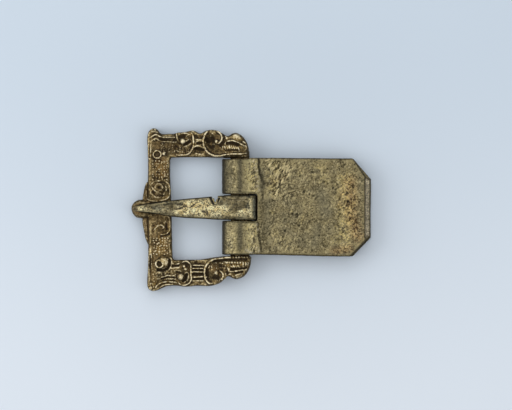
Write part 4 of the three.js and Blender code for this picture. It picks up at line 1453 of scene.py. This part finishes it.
def bronze_material():
    """Dark cast bronze: brown patina, black dirt in the hollows and golden crests, with painted highlights on
    the sharpest crests and on knobs, and painted shade on its walls and outlines.
    """
    dark_brown, light_brown, green_brown = colour(98, 79, 48), colour(136, 113, 75), colour(98, 92, 66)
    coppery, gilt_and_highlight, highlight_cream = colour(164, 114, 60), colour(186, 152, 84), colour(255, 240, 200)
    dark_gold, light_gold = colour(150, 122, 74), colour(242, 216, 156)
    soot, shadow, pit_black = colour(40, 28, 12), colour(46, 34, 16), colour(34, 28, 20)
    material, place = new_material("cast_bronze_patina")
    skin = skin_of(place, width=3.0, grain=0.6)
    worn, dirt, side = worn_marks(skin, low=0.54, high=0.82)
    pit = pits_of(place, spacing=0.9, share=0.3, size=0.26)
    crest, dull, dark = read_marks(place.tree, "crest", "dull", "dark")
    copper, gold, bare = read_marks(place.tree, "copper", "gold", "bare")
    base = blend(skin["Blotch"], dark_brown, light_brown)
    base = blend(skin["Second Blotch"] * 0.45, base, green_brown)
    base = blend(copper * spread(skin["Fine"], 0.3, 0.8) * 0.7, base, coppery)
    base = varied(base, skin["Grain"], 0.6, 1.36)
    # Golden patches from the gold marks, partly painted highlights on the tops of knobs, domes and rings.
    base = blend(gold * spread(skin["Fine"], 0.1, 0.7) * 0.85, base, gilt_and_highlight)
    base = blend(worn * (1.0 - dull), base, blend(skin["Fine"], dark_gold, light_gold))
    # Painted highlight: pale cream on the sharpest crests.
    sharp = spread(crest, 0.72, 0.96) * (1.0 - dull) * spread(skin["Grain"], 0.25, 0.7)
    base = blend(sharp * 0.95, base, highlight_cream)
    dirty = dirt * (1.0 - bare * 0.7)
    base = blend(dirty * 0.92, base, soot)
    # Painted shade on steep walls and along the dark marks' outlines and hollows, with some dark patina on
    # the walls.
    base = blend(larger(side * 0.62, dark * 0.85), base, shadow)
    base = blend(pit * 0.65, base, pit_black)
    rough = held(0.54 - worn * 0.2 + dirty * 0.25)
    metal = held(held(0.8 - dirt * 0.6) - sharp * 0.6)
    feed(material.node_tree.nodes["Principled BSDF"], {"Specular IOR Level": 0.25})
    return finish(material, base, rough, metal, skin["Fine"] - pit * 1.2, bump_depth=0.08)


def tongue_material():
    """Worn brass: bright where it is worn, with painted highlights on the tip and the hook, grey green where
    it isn't, with file marks along it, and painted shade along its edges.
    """
    dull_brass, dull_pale, cool_grey = colour(118, 106, 76), colour(152, 138, 102), colour(104, 110, 102)
    bright_brass, bright_pale = colour(212, 188, 128), colour(255, 240, 188)
    rubbed_edge = colour(222, 204, 154)
    grime, file_mark, brown_patina_and_shade = colour(60, 50, 32), colour(74, 64, 46), colour(84, 72, 50)
    shadow, pit_brown = colour(16, 14, 9), colour(54, 42, 26)
    material, place = new_material("tongue_brass")
    skin = skin_of(place, width=1.9, grain=0.7)
    worn, dirt, side = worn_marks(skin, low=0.66, high=0.95)
    pit = pits_of(place, spacing=1.0, share=0.4, size=0.2)
    scratch = scratches_of(place, turn=0.04, width=0.16, length=3.5)
    cool, rubbed_and_highlight, brown, dark = read_marks(place.tree, "cool", "rubbed_and_highlight", "brown", "dark")
    dull = blend(skin["Blotch"], dull_brass, dull_pale)
    dull = blend(larger(skin["Second Blotch"] * 0.45, cool), dull, cool_grey)
    dull = varied(dull, skin["Grain"], 0.5, 1.5)
    flecks = skin["Fine"] * 0.6 + skin["Grain"] * 0.4
    bright = blend(skin["Blotch"], bright_brass, bright_pale)
    bright = varied(bright, spread(flecks, 0.3, 0.58), 0.2, 1.26)
    # Bright worn brass, which on the tip's ridge and on the hook is a painted highlight.
    bright_share = rubbed_and_highlight * (1.0 - skin["Second Blotch"] * 0.3)
    base = blend(bright_share, dull, bright)
    base = blend(worn * 0.6, base, rubbed_edge)
    base = blend(dirt * 0.85, base, grime)
    base = blend(scratch * 0.32, base, file_mark)
    # Brown patina in the nicks and grooves, and painted shade on the tip's flanks.
    base = blend(brown, base, varied(brown_patina_and_shade, skin["Grain"], 0.7, 1.4))
    # Painted shade on the walls and along the edges, nicks and chip, with some dark patina on the walls.
    base = blend(larger(side * 0.9, dark * 0.95), base, shadow)
    base = blend(pit * 0.8, base, pit_brown)
    rough = held(0.5 - bright_share * 0.14 + skin["Grain"] * 0.12)
    metal = held(held(0.88 - dirt * 0.5) - bright_share * 0.42)
    return finish(material, base, rough, metal, skin["Grain"] - scratch - pit, bump_depth=0.08)


def plate_material():
    """Dull olive brass sheet: coarse grain, dark pits, worn patches and rust stains over the rivets, with
    painted highlights and shade on the loops, the bend, the creases and the folds, and painted shade on its
    edges.
    """
    dark_olive, light_olive, grey_olive = colour(135, 122, 87), colour(162, 147, 106), colour(132, 124, 97)
    worn_and_highlight_brass, glint_brass, worn_edge = colour(204, 184, 124), colour(236, 218, 168), colour(196, 180, 132)
    sunk_fold_shade, raised_fold_highlight, pale_painted_light = colour(60, 51, 32), colour(244, 224, 170), colour(220, 206, 174)
    rust_orange, rust_brown, grime = colour(166, 118, 52), colour(84, 48, 22), colour(66, 58, 40)
    shadow, side_shade_olive, pit_brown = colour(34, 32, 22), colour(56, 50, 35), colour(46, 36, 24)
    material, place = new_material("plate_brass_olive")
    skin = skin_of(place, width=4.0, grain=0.85)
    grit = skin_of(place, width=1.3, grain=0.42)
    worn, dirt, side = worn_marks(skin, low=0.58, high=0.86, side_loss=1.0)
    pits = pits_of(place, spacing=1.9, share=0.36, size=0.11)
    small_pits = pits_of(place, spacing=0.7, share=0.34, size=0.22)
    folds = scratches_of(place, turn=-0.7, width=0.42, length=1.6)
    raised = scratches_of(place, turn=-1.1, width=0.42, length=1.5)
    calm, rubbed_and_highlight, stain, crease = read_marks(place.tree, "calm", "rubbed_and_highlight", "stain", "crease")
    dark, foil, pale = read_marks(place.tree, "dark", "foil", "pale")
    base = blend(skin["Blotch"], dark_olive, light_olive)
    base = blend(larger(skin["Second Blotch"] * 0.5, calm * 0.9), base, grey_olive)
    # Worn brass patches, which on the loops and beside the bend are painted highlights.
    base = blend(rubbed_and_highlight * spread(grit["Blotch"], 0.0, 0.8) * 0.9, base, worn_and_highlight_brass)
    contrast = 1.0 - calm * 0.45
    swing = contrast * (skin["Fine"] - 0.5) * 0.75 + contrast * (grit["Grain"] - 0.5)
    # The crease mark paints shade into pressed creases and highlight onto raised ones.
    base = shaded(base, larger(swing + 1.02 + (crease - 0.5) * 1.4, 0.3))
    glint = skin["Speck"] * spread(grit["Blotch"], 0.3, 0.9) * contrast * 0.7
    small_glint = grit["Speck"] * spread(grit["Fine"], 0.54, 0.74) * contrast * 0.85
    base = blend(larger(glint, small_glint), base, glint_brass)
    # Painted shade in the foil's sunk folds and painted highlight on its raised ones.
    base = blend(foil * spread(folds, 0.0, 0.6) * 0.95, base, sunk_fold_shade)
    base = blend(foil * spread(raised, 0.0, 0.6) * 0.95, base, raised_fold_highlight)
    base = blend(worn * 0.6, base, worn_edge)
    orange = stain * spread(grit["Grain"], 0.45, 0.8)
    base = blend(orange * 0.5, base, rust_orange)
    base = blend(stain * spread(grit["Grain"], 0.5, 0.2) * 0.8, base, rust_brown)
    base = blend(dirt * 0.7, base, grime)
    # Painted light on the back leaf's strip, which lies in the front leaf's shadow, and painted highlights
    # along the bend.
    base = blend(pale * 0.9, base, varied(pale_painted_light, grit["Grain"], 0.56, 1.4))
    # Painted shade along the edges, the slot, the bend and the loops, and dark spots in the pits.
    base = blend(dark * 0.88, base, shadow)
    # Painted shade on the walls.
    base = blend(side * 0.85, base, side_shade_olive)
    pit = larger(pits, small_pits * contrast * 0.8)
    base = blend(pit * 0.85, base, pit_brown)
    rough = held(stain * 0.22 + 0.48 - worn * 0.1)
    metal = held(0.82 - orange * 0.5)
    return finish(material, base, rough, metal, skin["Grain"] - pit * 1.4 - foil * folds, bump_depth=0.09)


def iron_material():
    """Rusted iron: orange and dark brown crust."""
    dark_crust, light_crust, orange_crust = colour(74, 46, 30), colour(128, 78, 42), colour(164, 106, 58)
    bare_iron, soot = colour(124, 108, 92), colour(40, 28, 20)
    material, place = new_material("rusted_iron_crust")
    skin = skin_of(place, width=1.0, grain=0.35)
    worn, dirt, _ = worn_marks(skin, low=0.55, high=0.8)
    base = blend(skin["Blotch"], dark_crust, light_crust)
    base = blend(skin["Grain"] * 0.4, base, orange_crust)
    base = blend(worn * 0.5, base, bare_iron)
    base = blend(dirt * 0.7, base, soot)
    rough, metal = 0.88 - worn * 0.25, worn * 0.6
    return finish(material, base, rough, metal, skin["Fine"], bump_depth=0.1)


def floor_material():
    """Pale blue card, a little lighter towards its lower edge in the camera's view, with a painted shadow
    that darkens it under the buckle.
    """
    far_card, near_card = colour(203, 216, 229), colour(221, 230, 240)
    far_edge, near_edge = 0.05, -0.06
    shade_start, shade_end = 0.02, 0.075
    shaded_share = 0.96
    material = bpy.data.materials.new("pale_card")
    material.use_nodes = True
    tree = material.node_tree
    place = add(tree, "TexCoord")["Object"]
    along = add(tree, "SeparateXYZ", {"Vector": place})["Y"]
    out = add(tree, "VectorMath", {0: place}, operation="LENGTH")["Value"]
    card = blend(spread(along, far_edge, near_edge), far_card, near_card)
    card = shaded(card, spread(out, shade_start, shade_end, shaded_share, 1.0))
    feed(tree.nodes["Principled BSDF"], {"Base Color": card, "Roughness": 0.9, "Specular IOR Level": 0.1})
    return material


def make_floor():
    """The card that the buckle lies on."""
    floor_width = 4
    bpy.ops.mesh.primitive_plane_add(size=floor_width)
    floor = bpy.context.object
    floor.name = "floor"
    floor.data.materials.append(floor_material())


def make_lamps():
    """Three soft lamps round the buckle."""
    lamp_distance = 0.62
    # Each lamp's name, its direction seen from above and its tilt from straight up, in degrees, its power in
    # watts, and its width and length
    lamps = (
        ("left_lamp", 172, 58, 1.45, (0.4, 0.5)),
        ("far_lamp", 96, 52, 0.56, (0.44, 0.5)),
        ("right_lamp", -20, 58, 0.5, (0.44, 0.5)),
    )
    for name, azimuth, tilt, power, size in lamps:
        data = bpy.data.lights.new(name, "AREA")
        data.shape = "RECTANGLE"
        data.size, data.size_y = size
        data.energy = power
        turn, lean = math.radians(azimuth), math.radians(tilt)
        out = lamp_distance * math.sin(lean)
        lamp = add_to_scene(name, data)
        lamp.location = (out * math.cos(turn), out * math.sin(turn), lamp_distance * math.cos(lean))
        lamp.rotation_euler = (0, lean, turn)
        lamp.visible_camera = False


def make_world():
    """The room, which lights the buckle from above. Seen, or mirrored in the metal, it is as pale as the
    floor at the horizon and darker overhead, where the camera is."""
    horizon, overhead = colour(204, 216, 228), colour(138, 140, 142)
    low_light, high_light = 0.18, 0.95
    world = bpy.data.worlds.new("studio")
    bpy.context.scene.world = world
    world.use_nodes = True
    tree = world.node_tree
    light = tree.nodes["Background"]
    up = add(tree, "SeparateXYZ", {"Vector": add(tree, "TexCoord")["Generated"]})["Z"]
    feed(light, {"Color": (1, 1, 1, 1), "Strength": spread(up, 0.15, 1.0, low_light, high_light)})
    room = blend(spread(up, 0.1, 0.95), horizon, overhead)
    seen = add(tree, "Background", {"Color": room, "Strength": 1.0})["Background"]
    path = add(tree, "LightPath")
    shown = larger(larger(path["Is Camera Ray"], path["Is Glossy Ray"]), path["Is Transmission Ray"])
    both = add(tree, "MixShader", {0: shown, 1: Wire(light.outputs[0]), 2: seen})["Shader"]
    feed(tree.nodes["World Output"], {"Surface": both})


def make_camera():
    """The camera, which looks straight down on the middle of the photograph."""
    middle_px = (256, 205)
    photo_width_px = 512
    object_level = 4.6
    camera_distance = 800.0
    data = bpy.data.cameras.new("camera")
    data.sensor_width = 36
    data.lens = data.sensor_width * camera_distance / (photo_width_px * pixel)
    data.clip_start = 0.01
    camera = add_to_scene("camera", data)
    camera.location = at(*middle_px, object_level + camera_distance) * metres
    bpy.context.scene.camera = camera
    bpy.context.scene.view_settings.view_transform = "Standard"


make_frame(bronze_material())
make_tongue(tongue_material())
make_plate(plate_material())
make_rivets(iron_material())
make_floor()
make_lamps()
make_world()
make_camera()
